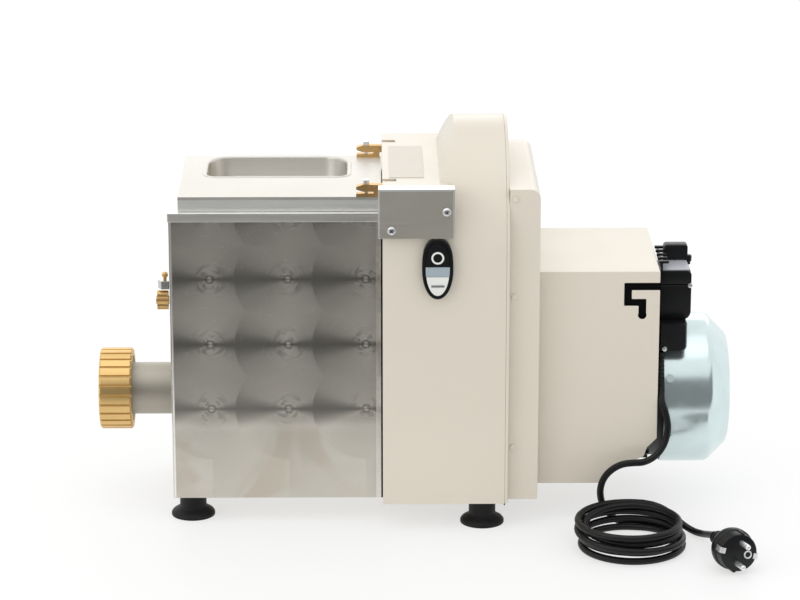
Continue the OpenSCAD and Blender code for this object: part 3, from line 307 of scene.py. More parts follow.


def engine_turned(name, color):
    """Stainless sheet ground with overlapping discs. Each disc's scratches run round its centre. Their dark
    wedges and light lobes, and the table's reflection, are painted into the colour.
    """
    s = Shader(name, color, 0.34, 1.0)
    s.set("Anisotropic", 0.9)
    x, y, z = s.split(s.at)
    on_end = s.math("GREATER_THAN", s.math("ABSOLUTE", s.split(s.coord.outputs["Normal"])[0]), 0.7)
    # place along the sheet: x on the long sides, y on the ends
    u = s.add(s.mul(x, s.flip(on_end)), s.mul(y, on_end))

    # the disc on top is the one to the right as far as it reaches, and else the one to the left
    column = s.math("DIVIDE", s.sub(u, FIRST_DISC), DISC_PITCH)
    right = s.math("CEIL", column)
    du_right = s.mul(s.sub(right, column), DISC_PITCH)
    height = s.math("DIVIDE", s.sub(z, MIDDLE_ROW), ROW_PITCH)
    row = s.math("MAXIMUM", s.math("ROUND", height), LOWEST_ROW)
    dz = s.mul(s.sub(height, row), ROW_PITCH)
    on_right = s.math("LESS_THAN", s.length(du_right, dz), DISC_R)
    du = s.sub(s.mul(DISC_PITCH, s.flip(on_right)), du_right)
    r = s.math("MAXIMUM", s.length(du, dz), 1e-5)
    lift = s.math("ABSOLUTE", s.math("DIVIDE", dz, r))  # 0 beside the centre, 1 above and below it
    disc = s.add(s.mul(s.add(right, on_right), 7.3), s.mul(row, 3.1))
    angle = s.math("ARCTAN2", dz, du)

    # scratches: noise that changes fast with the radius and slowly round the centre
    fine = s.noise(1.0, 3, 0.6, s.join(s.mul(r, 1500.0), s.mul(angle, 1.3), disc))
    coarse = s.noise(1.0, 2, 0.5, s.join(s.mul(r, 260.0), s.mul(angle, 1.1), disc))
    slant = s.mul(s.square(lift), s.flip(s.square(lift)))
    near = s.mul(s.soft(r, 0.008, 0.022, 1.0, 0.0), s.add(0.4, s.mul(slant, 2.8)))
    arcs = s.mul(s.soft(coarse, 0.50, 0.58), near, clamp=True)
    ring = s.mul(s.soft(r, 0.0022, 0.0032), s.soft(r, 0.0038, 0.0048, 1.0, 0.0))

    # painted reflection: dark wedges beside each centre and lighter lobes above and below, with darker wedges
    # and a painted darker band of lobes low on the sheet, and a cloudy painted reflection of the table near
    # the bottom
    glass = s.soft(s.add(lift, s.mul(s.noise(11.0, 1, 0.5), 0.10)), 0.02, 0.52)
    painted_wedge_shade = s.mix(s.remap(z, 0.10, 0.16), shade(color, 0.22), shade(color, 0.46))
    # painted reflection of the table: warm, cloudy patches on the sheet's lowest part
    table_reflection_tint = tuple(c * k for c, k in zip(color, (0.84, 0.80, 0.77)))
    painted_table_reflection = s.mix(s.soft(s.noise(13.0, 2, 0.5, distortion=1.2), 0.42, 0.58), shade(color, 0.92), table_reflection_tint)
    painted_dim_band = s.mul(s.soft(z, 0.092, 0.104), s.soft(z, 0.14, 0.19, 1.0, 0.0))
    painted_lobe_sheen = s.mix(s.soft(z, *TABLE_REFLECTION_HEIGHTS), painted_table_reflection, s.mix(painted_dim_band, shade(color, 0.98), shade(color, 0.74)))
    base = s.mix(glass, painted_wedge_shade, painted_lobe_sheen)
    base = s.mix(s.remap(fine, 0.3, 0.7, 0.0, 0.03), base, shade(color, 0.55))
    base = s.mix(s.mul(arcs, 0.55), base, shade(color, 0.40))
    base = s.mix(s.mul(ring, 0.75), base, shade(color, 0.30))
    base = s.mix(s.remap(s.noise(6.0, 3, 0.5), 0.35, 0.65, 0.0, 0.12), base, shade(color, 1.15))

    # painted highlight: the folds at both ends are mixed halfway to a pale colour
    low_end, high_end = PANEL_ENDS
    fold = s.math("MAXIMUM", s.math("GREATER_THAN", u, high_end), s.math("LESS_THAN", u, low_end))
    s.color(s.mix(s.mul(s.mul(fold, s.flip(on_end)), 0.5), base, (0.95, 0.93, 0.88)))
    s.rough(s.remap(fine, 0.3, 0.7, 0.262, 0.274))
    s.bump(s.mul(arcs, -1.0), 0.00004, 0.5)

    # the scratches run round the centre, so the sheet is rough along the radius
    pick = s.node("ShaderNodeMix", data_type="VECTOR")
    s.link(on_end, pick.inputs["Factor"])
    s.link(s.join(du, 0.0, dz), pick.inputs[4])
    s.link(s.join(0.0, du, dz), pick.inputs[5])
    s.link(s.world_vector(pick.outputs[1]), s.bsdf.inputs["Tangent"])
    return s.mat


LID_STEEL = (0.74, 0.72, 0.67)
M = {
    "panel": engine_turned("engine_turned_steel", (0.72, 0.685, 0.61)),
    "rim": brushed("brushed_rim_steel", (0.84, 0.82, 0.76), "x", 0.36, aniso=0.7, folds=RIM_FOLDS),
    "lid": brushed("brushed_lid_steel", LID_STEEL, "x", 0.40, streak=0.06, aniso=0.8, folds=LID_FOLDS),
    "tray": brushed("pressed_tray_steel", LID_STEEL, "x", 0.40, streak=0.06, aniso=0.8),
    # near-white steel for the hopper's folded corners: a painted highlight
    "fold": brushed("fold_highlight_steel", (0.95, 0.93, 0.88), "z", 0.30, streak=0.03),
    "guard": brushed("brushed_guard_steel", (0.77, 0.735, 0.65), "x", 0.42, streak=0.07, aniso=0.7,
                     folds=GUARD_FOLDS),
    "barrel": brushed("turned_barrel_steel", (0.52, 0.49, 0.43), "y", 0.55, streak=0.05),
    "machined": brushed("machined_steel", (0.58, 0.58, 0.575), "y", 0.28),
    "cast": cast("cast_aluminium", (0.62, 0.62, 0.61)),
    "bronze": cast("cast_bronze", (0.78, 0.535, 0.225), 0.40, 1.0, 900, 0.00004),
    "brass": cast("satin_brass", (0.72, 0.47, 0.20), 0.40, 1.0, 900, 0.00003),
    "enamel": enamel("cream_enamel", srgb(222, 213, 197)),
    "zinc": cast("zinc_plating", (0.93, 0.95, 0.97), 0.42, 1.0, 1500, 0.00001),
    "galvanised": cast("galvanised_steel", srgb(219, 234, 235), 0.22, 0.9, 120, 0.00001),
    "black": plastic("black_plastic", srgb(16, 17, 19), 0.36, specular_ior_level=0.35),
    "motor_paint": plastic("black_motor_paint", srgb(30, 31, 33), 0.45),
    "grey": plastic("grey_plastic", srgb(120, 122, 124), 0.45),
    "pale_grey": plastic("pale_grey_plastic", srgb(176, 178, 182), 0.40, spread=0.03),
    "matt_black": plastic("matt_black", srgb(10, 10, 11), 0.85, specular_ior_level=0.1),
    "lens": plastic("lens_plastic", srgb(160, 172, 178), 0.22, spread=0.04),
    "white": plastic("white_plastic", srgb(228, 228, 222), 0.30, spread=0.03),
    "rubber": plastic("foot_rubber", srgb(14, 14, 15), 0.55, specular_ior_level=0.35),
    "cord": plastic("cord_sheath", srgb(11, 11, 13), 0.42, specular_ior_level=0.35),
    "gear": cast("gear_bronze", (0.60, 0.44, 0.22), 0.34, 1.0, 600, 0.00003),
    "copper": cast("winding", (0.55, 0.26, 0.14), 0.42, 1.0, 1200, 0.00005),
    "film": plastic("label_film", srgb(216, 209, 196), 0.45, spread=0.02, specular_ior_level=0.3),
}

SHARP = 32  # degrees: an edge that turns by more is sharp

# CAD nodes that stay: material, edge width in mm
DRESS = {
    "hopper_shell": ("panel", 1.2), "hopper_rim": ("rim", 0.6), "mixing_trough": ("cast", 0.5),
    "extruder_barrel": ("barrel", 0.4), "pasta_die": ("bronze", 0.3), "thrust_washer": ("machined", 0.1),
    "ring_nut": ("bronze", 0.4), "cutter_bracket": ("machined", 0.4), "index_pin": ("brass", 0.3),
    "wing_screw": ("brass", 0.5), "front_casing": ("enamel", 1.0), "back_plate": ("enamel", 0.7),
    "rear_box": ("enamel", 1.0), "motor_cover": ("enamel", 0.7), "hinge_cover": ("guard", 0.6),
    "hinge_blocks": ("cast", 0.4), "lid_sensor": ("grey", 0.5), "marking_plate": ("film", 0.2),
    "lid": ("lid", 0.8), "hinge_arms": ("brass", 0.5), "arm_screws": ("zinc", 0.4),
    "hinge_shaft": ("machined", 0.2),
    "switch_bezel": ("black", 0.6), "switch_body": ("grey", 0.5), "pilot_lens": ("lens", 0.2),
    "stop_button": ("black", 0.4), "start_button": ("white", 0.4), "front_gear_plate": ("cast", 0.5),
    "middle_gear_plate": ("cast", 0.5), "rear_gear_plate": ("cast", 0.5), "shaft_bushes": ("gear", 0.2),
    "auger": ("machined", 0), "auger_gear": ("gear", 0.1), "mixer": ("machined", 0.5),
    "mixer_gear": ("gear", 0.1), "counter_shaft": ("machined", 0.1), "counter_gear": ("gear", 0.1),
    "motor_front_shield": ("motor_paint", 0.4), "motor_frame": ("motor_paint", 0.3),
    "motor_rear_shield": ("motor_paint", 0.4), "motor_bearings": ("machined", 0.2),
    "stator": ("copper", 0.5), "motor_shaft": ("machined", 0.1), "rotor": ("machined", 0.3),
    "fan": ("black", 0.3), "fan_cowl": ("galvanised", 0.3), "cowl_screws": ("galvanised", 0.2),
    "run_capacitor": ("grey", 0.6), "side_screws": ("enamel", 0.5),
    "feet": ("rubber", 0.3), "foot_screws": ("zinc", 0.2),
}


def edged(obj, width):
    """Joins the node's faces and rounds its sharp edges."""
    weld = obj.modifiers.new("weld", "WELD")
    weld.merge_threshold = 1e-6
    flat = obj.modifiers.new("flat", "DECIMATE")
    flat.decimate_type = "DISSOLVE"
    flat.angle_limit = math.radians(0.4)
    if width:
        bevel = obj.modifiers.new("edge", "BEVEL")
        bevel.width = width * MM
        bevel.segments = 2
        bevel.limit_method = "ANGLE"
        bevel.angle_limit = math.radians(SHARP)
        bevel.use_clamp_overlap = True
        bevel.harden_normals = False
    obj.data.polygons.foreach_set("use_smooth", [True] * len(obj.data.polygons))
    even = obj.modifiers.new("even", "WEIGHTED_NORMAL")
    even.keep_sharp = True
    even.weight = 90


for name, (key, width) in DRESS.items():
    obj = nodes[name]
    obj.data.materials.clear()
    obj.data.materials.append(M[key])
    edged(obj, width)

# ---------------------------------------------------------------- pieces built here


def piece(name, data, body):
    """Puts a mesh or a curve in the scene, on its body."""
    obj = bpy.data.objects.new(name, data)
    scene.collection.objects.link(obj)
    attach(obj, body)
    return obj


def finish_mesh(name, bm, mat, body, angle=SHARP):
    """Turns a bmesh into a piece of the scene, smooth between its sharp edges."""
    bmesh.ops.remove_doubles(bm, verts=bm.verts, dist=1e-6)
    bmesh.ops.recalc_face_normals(bm, faces=bm.faces)
    mesh = bpy.data.meshes.new(name)
    bm.to_mesh(mesh)
    bm.free()
    mesh.materials.append(M[mat])
    mesh.polygons.foreach_set("use_smooth", [True] * len(mesh.polygons))
    mesh.set_sharp_from_angle(angle=math.radians(angle))
    return piece(name, mesh, body)


def loft(bm, loops, caps=(True, True)):
    """Skins a row of closed loops, given in mm and with equal counts. Returns their vertices."""
    rows = [[bm.verts.new(pt(*p)) for p in loop] for loop in loops]
    n = len(rows[0])
    for a, b in zip(rows, rows[1:]):
        for i in range(n):
            bm.faces.new((a[i], a[(i + 1) % n], b[(i + 1) % n], b[i]))
    for wanted, row in zip(caps, (rows[0], rows[-1])):
        if wanted:
            bm.faces.new(row)
    return rows


def rounded(x0, x1, y0, y1, radii, parts=6):
    """A rectangle with rounded corners. The radii go round from the corner that is low in both."""
    corners = [(x0, y0, 1, 1), (x1, y0, -1, 1), (x1, y1, -1, -1), (x0, y1, 1, -1)]
    out = []
    for (cx, cy, sx, sy), r, start in zip(corners, radii, (180, 270, 0, 90)):
        for k in range(parts + 1):
            a = math.radians(start + 90 * k / parts)
            out.append((cx + sx * r + r * math.cos(a), cy + sy * r + r * math.sin(a)))
    return out


def pillow(bm, x, y, z, edge, corners, axis="z", parts=3):
    """A block with rounded edges: an outline across one axis, drawn in at both of its ends."""
    order = {"x": (1, 2, 0), "y": (0, 2, 1), "z": (0, 1, 2)}[axis]
    (u0, u1), (v0, v1), (w0, w1) = ((x, y, z)[i] for i in order)
    turns = [math.pi / 2 * k / parts for k in range(parts + 1)]
    steps = [(edge * (1 - math.sin(a)), edge * (1 - math.cos(a))) for a in turns]
    levels = [(i, w0 + d) for i, d in steps] + [(i, w1 - d) for i, d in reversed(steps)]
    loops = []
    for inset, w in levels:
        loop = []
        radii = [max(c - inset, 0.3) for c in corners]
        for u, v in rounded(u0 + inset, u1 - inset, v0 + inset, v1 - inset, radii):
            p = [0.0, 0.0, 0.0]
            for i, value in zip(order, (u, v, w)):
                p[i] = value
            loop.append(p)
        loops.append(loop)
    return loft(bm, loops)


def lathe(bm, frame, profile, count=32, caps=(True, True), swell=None):
    """Turns a profile of (radius, place along Z) round the Z axis of a frame in mm."""
    loops = []
    for r, along in profile:
        loop = []
        for k in range(count):
            a = 2 * math.pi * k / count
            rr = swell(r, along, a) if swell else r
            loop.append(frame @ Vector((rr * math.cos(a), rr * math.sin(a), along)))
        loops.append(loop)
    return loft(bm, loops, caps)


def facing(x, y, z):
    """A frame in mm whose Z axis points at the viewer of the photograph."""
    return Matrix.Translation((x, y, z)) @ Matrix.Rotation(math.radians(90), 4, "X")


# Tray pressed into the lid, with a rolled lip and a row of slots
TRAY_X, TRAY_Y, LID_TOP, TRAY_FLOOR = (-194, -63), (-2, 72), 314.5, 292.5
TRAY_T, SLOTS, SLOT_PITCH, SLOT_W, SLOT_INSET = 1.5, 7, 13, 4, (22, 16)


def tray_loop(grow, z):
    """The tray's outline at one height, grown outward."""
    near, far = 10 + grow, 26 + grow
    return [(x, y, z) for x, y in rounded(TRAY_X[0] - grow, TRAY_X[1] + grow, TRAY_Y[0] - grow,
                                          TRAY_Y[1] + grow, (near, near, far, far), 10)]


bm = bmesh.new()
rows = loft(bm, [tray_loop(g, z) for g, z in (
    (-1.5, TRAY_FLOOR), (0.6, TRAY_FLOOR + 0.5), (TRAY_T, TRAY_FLOOR + 1.8), (TRAY_T, LID_TOP - 0.1),
    (3.9, LID_TOP - 0.1), (4.1, LID_TOP + 0.1), (3.9, LID_TOP + 0.4), (3.2, LID_TOP + 0.7),
    (2.2, LID_TOP + 0.8), (1.2, LID_TOP + 0.5), (0.4, LID_TOP - 0.3), (0, LID_TOP - 1.6),
    (0, TRAY_FLOOR + 5.5), (-0.7, TRAY_FLOOR + 3.2), (-2.2, TRAY_FLOOR + 1.9),
    (-4, TRAY_FLOOR + TRAY_T))], caps=(False, False))
# its floor is filled below and above round the slots, and then the slots get their walls
levels = []
for row, z in ((rows[0], TRAY_FLOOR), (rows[-1], TRAY_FLOOR + TRAY_T)):
    edges = [bm.edges.get((a, b)) for a, b in zip(row, row[1:] + row[:1])]
    slots = []
    for i in range(SLOTS):
        x = TRAY_X[0] + SLOT_INSET[0] + SLOT_PITCH * i
        slot = rounded(x, x + SLOT_W, TRAY_Y[0] + SLOT_INSET[1], TRAY_Y[1] - SLOT_INSET[1], (1.9,) * 4, 3)
        hole = [bm.verts.new(pt(u, v, z)) for u, v in slot]
        edges += [bm.edges.new((a, b)) for a, b in zip(hole, hole[1:] + hole[:1])]
        slots.append(hole)
    bmesh.ops.triangle_fill(bm, use_beauty=True, edges=edges)
    levels.append(slots)
for a, b in zip(*levels):
    for i in range(len(a)):
        k = (i + 1) % len(a)
        bm.faces.new((a[i], a[k], b[k], b[i]))
tray = finish_mesh("pressed_tray", bm, "tray", "lid")
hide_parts("lid_tray")

# Terminal box behind the motor cover: a near block with its lid, a tall block behind it, a comb on a
# rail in front of both, and a low block that fits round the fan cowl
GAP, AXIS_Z, COWL_R = 226, 106.5, 71.1
COMB, COMB_PITCH, COMB_W = 5, 12.6, 4
LOW_Y, LOW_Z, LOW_RINGS = (-62, 30), (160, 188.5), 27
bm = bmesh.new()
pillow(bm, (GAP + 1.5, GAP + 31), (-46.2, -17), (187.5, 235.6), 1.2, (3, 7, 3, 2), "y")
pillow(bm, (GAP + 8, GAP + 30.5), (-17.5, -5), (179.5, 251.5), 1.6, (1.5, 1.5, 3, 3), "y", 4)
pillow(bm, (GAP + 3, GAP + 4.5), (-50, 3.4), (235, 243.6), 0.3, (0.4,) * 4)
for i in range(COMB):
    near = -50 + COMB_PITCH * i
    pillow(bm, (GAP + 0.8, GAP + 10), (near, near + COMB_W), (242.6, 245), 0.5, (0.6,) * 4)
loops = []
for k in range(LOW_RINGS):
    y = LOW_Y[0] + (LOW_Y[1] - LOW_Y[0]) * k / (LOW_RINGS - 1)
    draw = 1.4 * max(0, 1 - min(k, LOW_RINGS - 1 - k)) ** 2
    foot = max(LOW_Z[0], AXIS_Z + math.sqrt(max(COWL_R ** 2 - y ** 2, 0)))
    outline = rounded(GAP + 1.5 + draw, GAP + 27.5 - draw, foot + draw, LOW_Z[1] - draw, (1.5, 5, 2, 2), 4)
    loops.append([(x, y, z) for x, z in outline])
loft(bm, loops)
box = finish_mesh("terminal_blocks", bm, "black", "machine")
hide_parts("terminal_box")

# its lid in two halves, the pale top, the knob and two screws
bm = bmesh.new()
pillow(bm, (GAP + 1.5, GAP + 31.5), (-50, -46.8), (187.8, 221.6), 1.1, (3, 8, 0.8, 2), "y")
pillow(bm, (GAP + 1.5, GAP + 31.5), (-50, -46.8), (222.2, 235.8), 1.1, (2, 0.8, 5, 2), "y")
finish_mesh("terminal_box_lid", bm, "black", "machine")
bm = bmesh.new()
pillow(bm, (GAP + 1.6, GAP + 29.5), (-48.8, -17.2), (235.2, 236.8), 0.5, (1.5, 3, 3, 1.5))
finish_mesh("terminal_box_top", bm, "pale_grey", "machine")
bm = bmesh.new()
at_knob = Matrix.Translation((GAP + 31.2, -14, 236))
lathe(bm, at_knob, [(2.2, -4), (2.2, -1.5), (3.2, -1), (3.4, 3.6), (2.9, 4.7), (1.6, 5.1)], 20,
      swell=lambda r, along, a: r - (0.35 * (math.cos(10 * a) > 0) if -1 < along < 4 else 0))
finish_mesh("terminal_box_knob", bm, "black", "machine")
bm = bmesh.new()
for x, y, z, r in ((GAP + 30.2, -50.0, 221.4, 2.4), (GAP + 6.6, -62.0, 163.4, 2.5)):
    lathe(bm, facing(x, y + 0.2, z), [(r, 0), (r, 0.7), (0.85 * r, 1.35), (0.5 * r, 1.6)], 24)
finish_mesh("terminal_box_screws", bm, "zinc", "machine")

# Matt black sheet behind the slot in the motor cover: painted shade for the dark inside
bm = bmesh.new()
pillow(bm, (GAP - 38, GAP - 0.6), (-73.4, -71.6), (192, 236), 0.3, (1,) * 4, "y")
finish_mesh("slot_shade_sheet", bm, "matt_black", "machine")

# Matt black strip where the hopper meets the casing: painted shade in the gap between them
bm = bmesh.new()
pillow(bm, (-31.5, -30.1), (-80.6, -78.6), (24, 291), 0.2, (0.4,) * 4)
finish_mesh("hopper_gap_shade", bm, "matt_black", "machine")

# Screws of the hinge cover, with domed heads; their cross recess is a matt black cross, painted shade
GUARD_SCREWS, GUARD_Y = ((-22, 292.6), (28, 310.1)), -114
heads, recess_shade_bars = bmesh.new(), bmesh.new()
for x, z in GUARD_SCREWS:
    screw_frame = facing(x, GUARD_Y, z)
    lathe(heads, screw_frame, [(2, -14), (2, -0.1), (4, 0.05), (4, 0.7), (3.7, 1.4), (3.1, 1.95), (2.2, 2.3),
                               (1, 2.45)], 32)
    for turn in (45, 135):
        slot_frame = screw_frame @ Matrix.Rotation(math.radians(turn), 4, "Z")
        bar = ((-1.9, -0.36), (1.9, -0.36), (1.9, 0.36), (-1.9, 0.36))
        loft(recess_shade_bars, [[slot_frame @ Vector((u, v, w)) for u, v in bar] for w in (1.5, 2.49)])
head = finish_mesh("domed_screws", heads, "zinc", "machine")
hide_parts("hinge_cover_screws")
finish_mesh("screw_recess_shade", recess_shade_bars, "matt_black", "machine")

# Folded corners at the front end of the hopper's sheet, in a near-white steel that paints their highlight
CORNER_X, CORNER_Y, CORNER_R, HOPPER_Z = -223.4, 77.4, 3, (25, 291.8)
bm = bmesh.new()
for side in (-1, 1):
    turns = [math.radians(9 * k) for k in range(11)]
    outline = [(CORNER_X - CORNER_R * math.cos(a), side * (CORNER_Y + CORNER_R * math.sin(a))) for a in turns]
    outline.append((CORNER_X, side * CORNER_Y))
    loft(bm, [[(x, y, z) for x, y in outline] for z in HOPPER_Z])
finish_mesh("hopper_folds", bm, "fold", "machine")

# Marks on the two push-buttons: a ring and a bar
BUTTON_Y, SWITCH_X = -112.5, 20
bm = bmesh.new()
lathe(bm, facing(SWITCH_X, BUTTON_Y + 0.05, 266.3),
      [(4.15, 0), (5.85, 0), (5.85, 0.22), (4.15, 0.22), (4.15, 0)], 40, (False, False))
finish_mesh("stop_mark", bm, "white", "stop_button")
bm = bmesh.new()
pillow(bm, (SWITCH_X - 5.8, SWITCH_X + 6.2), (BUTTON_Y - 0.2, BUTTON_Y + 0.1), (238.7, 240.6), 0.05,
       (0.3,) * 4)
finish_mesh("start_mark", bm, "grey", "start_button")

# Matt black ring down in the joint between the casing and its back plate: painted shade in the groove
HOOD_Z, CASE_R, CASE_Z0 = 267, 104, 24


def hood_loop(inset, x):
    """The casing's outline, drawn in by an inset, at one place along X."""
    r = CASE_R - inset
    out = [(x, -r, CASE_Z0 + inset), (x, r, CASE_Z0 + inset)]
    turns = [math.radians(a) for a in range(0, 181, 5)]
    return out + [(x, r * math.cos(a), HOOD_Z + r * math.sin(a)) for a in turns]


bm = bmesh.new()
loft(bm, [hood_loop(1.2, 82.2), hood_loop(0.25, 82.5), hood_loop(0.25, 83.3), hood_loop(1.2, 83.6)])
finish_mesh("casing_joint_shade", bm, "matt_black", "machine")

# ---------------------------------------------------------------- mains cord
CORD_R = 3.25
PLUG_ROLL = 75
EXIT = (229, -68.6, 126)
GLAND_ROUTE = [
    (229, -58, 159.7), (229, -58, 156), (229, -59.2, 150), (229, -61.7, 143), (229, -65.2, 135), EXIT,
]
LEAD_ROUTE = [
    (229.8, -75.5, 116.6), (232.4, -79.2, 108.8), (234.6, -80.3, 101.1), (235.7, -81, 92.4),
    (234.4, -82.9, 83.5), (231.1, -85.9, 75.8), (226, -89.6, 69.8), (219.2, -93.3, 65.7),
    (211.4, -96.5, 63.8), (201.7, -97.9, 63.6), (192.1, -96.6, 61.6), (182.8, -95.1, 55.8),
    (176.1, -93.4, 47), (173.1, -92.3, 36.7), (173.6, -92, 26.8), (176.6, -92.4, 18.8),
    (181.5, -93.3, 12.1), (189.8, -95.5, 6),
]
TAIL_ROUTE = [
    (222, -102, 23.5), (232, -104.8, 20), (241.5, -108.6, 13.5), (250, -113.6, 7.5),
    (258.4, -120.5, 4.4), (265.5, -130, 5.4), (270, -141, 8.8), (272.6, -151, 12),
]
COIL_AT, COIL_OUT, COIL_IN = (197, -148), 50, 41.2
COIL_TURNS, COIL_LAYERS, COIL_RINGS, COIL_START = 5, 4, 24, 80
LAYER_H = 2 * CORD_R + 0.7


def coil_point(i):
    """The coil's formula, as in the part's source, for a step that may lie between two of its rings."""
    steps = COIL_TURNS * COIL_RINGS / COIL_LAYERS
    layer = min(int(i // steps), COIL_LAYERS - 1)
    share = i / steps - layer
    if i >= steps * COIL_LAYERS:
        layer, share = COIL_LAYERS, 0.0
    r = COIL_OUT + (COIL_IN - COIL_OUT) * (share if layer % 2 == 0 else 1 - share)
    near = round(i / steps)
    off = i - near * steps
    w = COIL_RINGS / 4
    if near == 0:
        climb = 0
    elif near == COIL_LAYERS:
        climb = COIL_LAYERS - 1
    elif abs(off) < w:
        climb = near - 0.5 + off / w / 2
    else:
        climb = near - 1 if off < 0 else near
    a = math.radians(COIL_START - 360 / COIL_RINGS * i)
    return Vector((COIL_AT[0] + r * math.cos(a), COIL_AT[1] + r * math.sin(a), CORD_R + LAYER_H * climb))


def heading(i):
    """The way the coil runs at a step."""
    a = math.radians(COIL_START - 360 / COIL_RINGS * i)
    return Vector((math.sin(a), -math.cos(a), 0))


def smooth_line(points, parts=4):
    """Points of a Catmull-Rom curve through the given ones."""
    p = [Vector(q) for q in points]
    p = [2 * p[0] - p[1]] + p + [2 * p[-1] - p[-2]]
    out = []
    for a, b, c, d in zip(p, p[1:], p[2:], p[3:]):
        for k in range(parts):
            t = k / parts
            out.append(0.5 * (2 * b + (c - a) * t + (2 * a - 5 * b + 4 * c - d) * t * t
                              + (3 * b - a - 3 * c + d) * t ** 3))
    return out + [p[-2]]


COIL_STEPS = COIL_TURNS * COIL_RINGS
coil = [coil_point(k / 2) for k in range(2 * COIL_STEPS + 1)]
coil_first = coil[0] - 2 * CORD_R * heading(0)
coil_last = coil[-1] + 2 * CORD_R * heading(COIL_STEPS)


def polyline(name, points, radius, mat, body):
    """A round cord through points given in mm."""
    curve = bpy.data.curves.new(name, "CURVE")
    curve.dimensions = "3D"
    curve.bevel_depth = radius * MM
    curve.bevel_resolution = 5
    curve.use_fill_caps = True
    spline = curve.splines.new("POLY")
    spline.points.add(len(points) - 1)
    for p, q in zip(spline.points, points):
        p.co = (*pt(*q), 1)
    curve.materials.append(M[mat])
    return piece(name, curve, body)


PLUG_BACK = (274.5, -160, 14)
PLUG_L, PLUG_R, PIN_GAP = 62, 19, 9.5
HOLLOW_AT, HOLLOW_R, HOLLOW_FROM = 25.4, 8, 49
RIBS, RIB_PITCH = 5, 3.8
at_plug = (Matrix.Translation(PLUG_BACK)
           @ Matrix.Rotation(math.radians(-76), 4, "Z") @ Matrix.Rotation(math.radians(83.8), 4, "Y")
           @ Matrix.Rotation(math.radians(PLUG_ROLL), 4, "Z"))

# Strain relief where the cord leaves the terminal box: a sleeve with ribs that narrows to the cord
route = smooth_line(GLAND_ROUTE, 12)
bm = bmesh.new()
loops = []
run = 0.0
for k, p in enumerate(route):
    ahead = (route[min(k + 1, len(route) - 1)] - route[max(k - 1, 0)]).normalized()
    side = Vector((1, 0, 0))
    across = ahead.cross(side)
    if k:
        run += (p - route[k - 1]).length
    r = 4.5 - 0.7 * k / (len(route) - 1) - 0.6 * (math.sin(2 * math.pi * run / 3.6) > 0.2)
    loops.append([p + side * r * math.cos(a) + across * r * math.sin(a)
                  for a in (2 * math.pi * i / 20 for i in range(20))])
loft(bm, loops)
gland = finish_mesh("cord_strain_relief", bm, "cord", "machine", 50)
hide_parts("cord_gland")


def plug_hollow(r, along, a):
    """The body's radius where the earth contacts lie in a hollow at each side."""
    depth = (HOLLOW_AT * math.sin(a)) ** 2
    if along < HOLLOW_FROM or depth >= HOLLOW_R ** 2:
        return r
    wall = HOLLOW_AT * abs(math.cos(a)) - math.sqrt(HOLLOW_R ** 2 - depth)
    return r + (min(r, wall) - r) * min(1, (along - HOLLOW_FROM) / 2)


def plug_knobs(r, along, a):
    """Ribs of the strain relief, cut away on two sides in turn."""
    rib = int((along - 1) // RIB_PITCH)
    gap = abs(math.cos(a)) > 0.86 if rib % 2 else abs(math.sin(a)) > 0.86
    return 5.4 + 0.1 * along if gap and 1.2 < along < 20 else r


# Plug: its strain relief, its body with the hollows, and the pins and earth contacts
bm = bmesh.new()
ribs = []
for i in range(RIBS):
    foot = 1.5 + RIB_PITCH * i
    ribs += [(5.3 + 0.35 * i, foot), (6.5 + 0.4 * i, foot + 0.4), (6.6 + 0.4 * i, foot + 1.9),
             (5.5 + 0.35 * i, foot + 2.4)]
lathe(bm, at_plug, [(3.4, -2), (4.6, -1.2), (5.0, 0.5)] + ribs + [(7.2, 21)], 48, swell=plug_knobs)
lathe(bm, at_plug, [(8.0, 20), (9.4, 21.2), (9.7, 24), (11.2, 27.5), (13.6, 31), (16.2, 35), (18.2, 38.6),
                    (PLUG_R, 42), (PLUG_R, 47.6), (18.4, 48.8), (17.6, 49.4), (17.3, 50.5),
                    (17.2, PLUG_L - 1.4), (16.8, PLUG_L - 0.5), (15.8, PLUG_L)], 96, swell=plug_hollow)
for s in (-1, 1):  # ribs that guide the plug in its socket
    rib_frame = at_plug @ Matrix.Translation((0, s * 16.7, 0))
    lathe(bm, rib_frame, [(2.0, 47), (2.2, 48), (2.2, PLUG_L - 2), (1.6, PLUG_L - 0.8)], 16)
plug = finish_mesh("moulded_plug", bm, "black", "machine")
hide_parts("plug_body")
bm = bmesh.new()
for s in (-1, 1):
    pin_frame = at_plug @ Matrix.Translation((0, s * PIN_GAP, 0))
    lathe(bm, pin_frame, [(2.4, 54), (2.4, PLUG_L + 16.8), (2.2, PLUG_L + 17.9), (1.7, PLUG_L + 18.6),
                          (0.9, PLUG_L + 19)], 24)
    # the earth contact at this side of the plug: a strip bent over its edge
    path = [(17.6, 50.6), (18.3, 52), (18.3, 61.6), (17.9, 62.5), (16.9, 62.9), (13.6, 62.7)]
    loops = []
    for (u, w), (u0, w0), (u1, w1) in zip(path, [path[0]] + path[:-1], path[1:] + [path[-1]]):
        along = Vector((u1 - u0, w1 - w0)).normalized()
        out = Vector((along.y, -along.x)) * 0.35
        loops.append([at_plug @ Vector((s * (u + k * out.x), v, w + k * out.y))
                      for k, v in ((1, -2.6), (1, 2.6), (-1, 2.6), (-1, -2.6))])
    loft(bm, loops)
# the socket for an earth pin
earth_frame = at_plug @ Matrix.Translation((8.6, 0, 0))
lathe(bm, earth_frame, [(2.4, 57), (3.9, 57), (3.9, 62.4), (3.5, 62.9), (2.8, 62.9), (2.4, 62.4),
                        (2.4, 57.2)], 28, (False, False))
pins = finish_mesh("plug_contacts", bm, "zinc", "machine")
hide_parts("plug_pins")

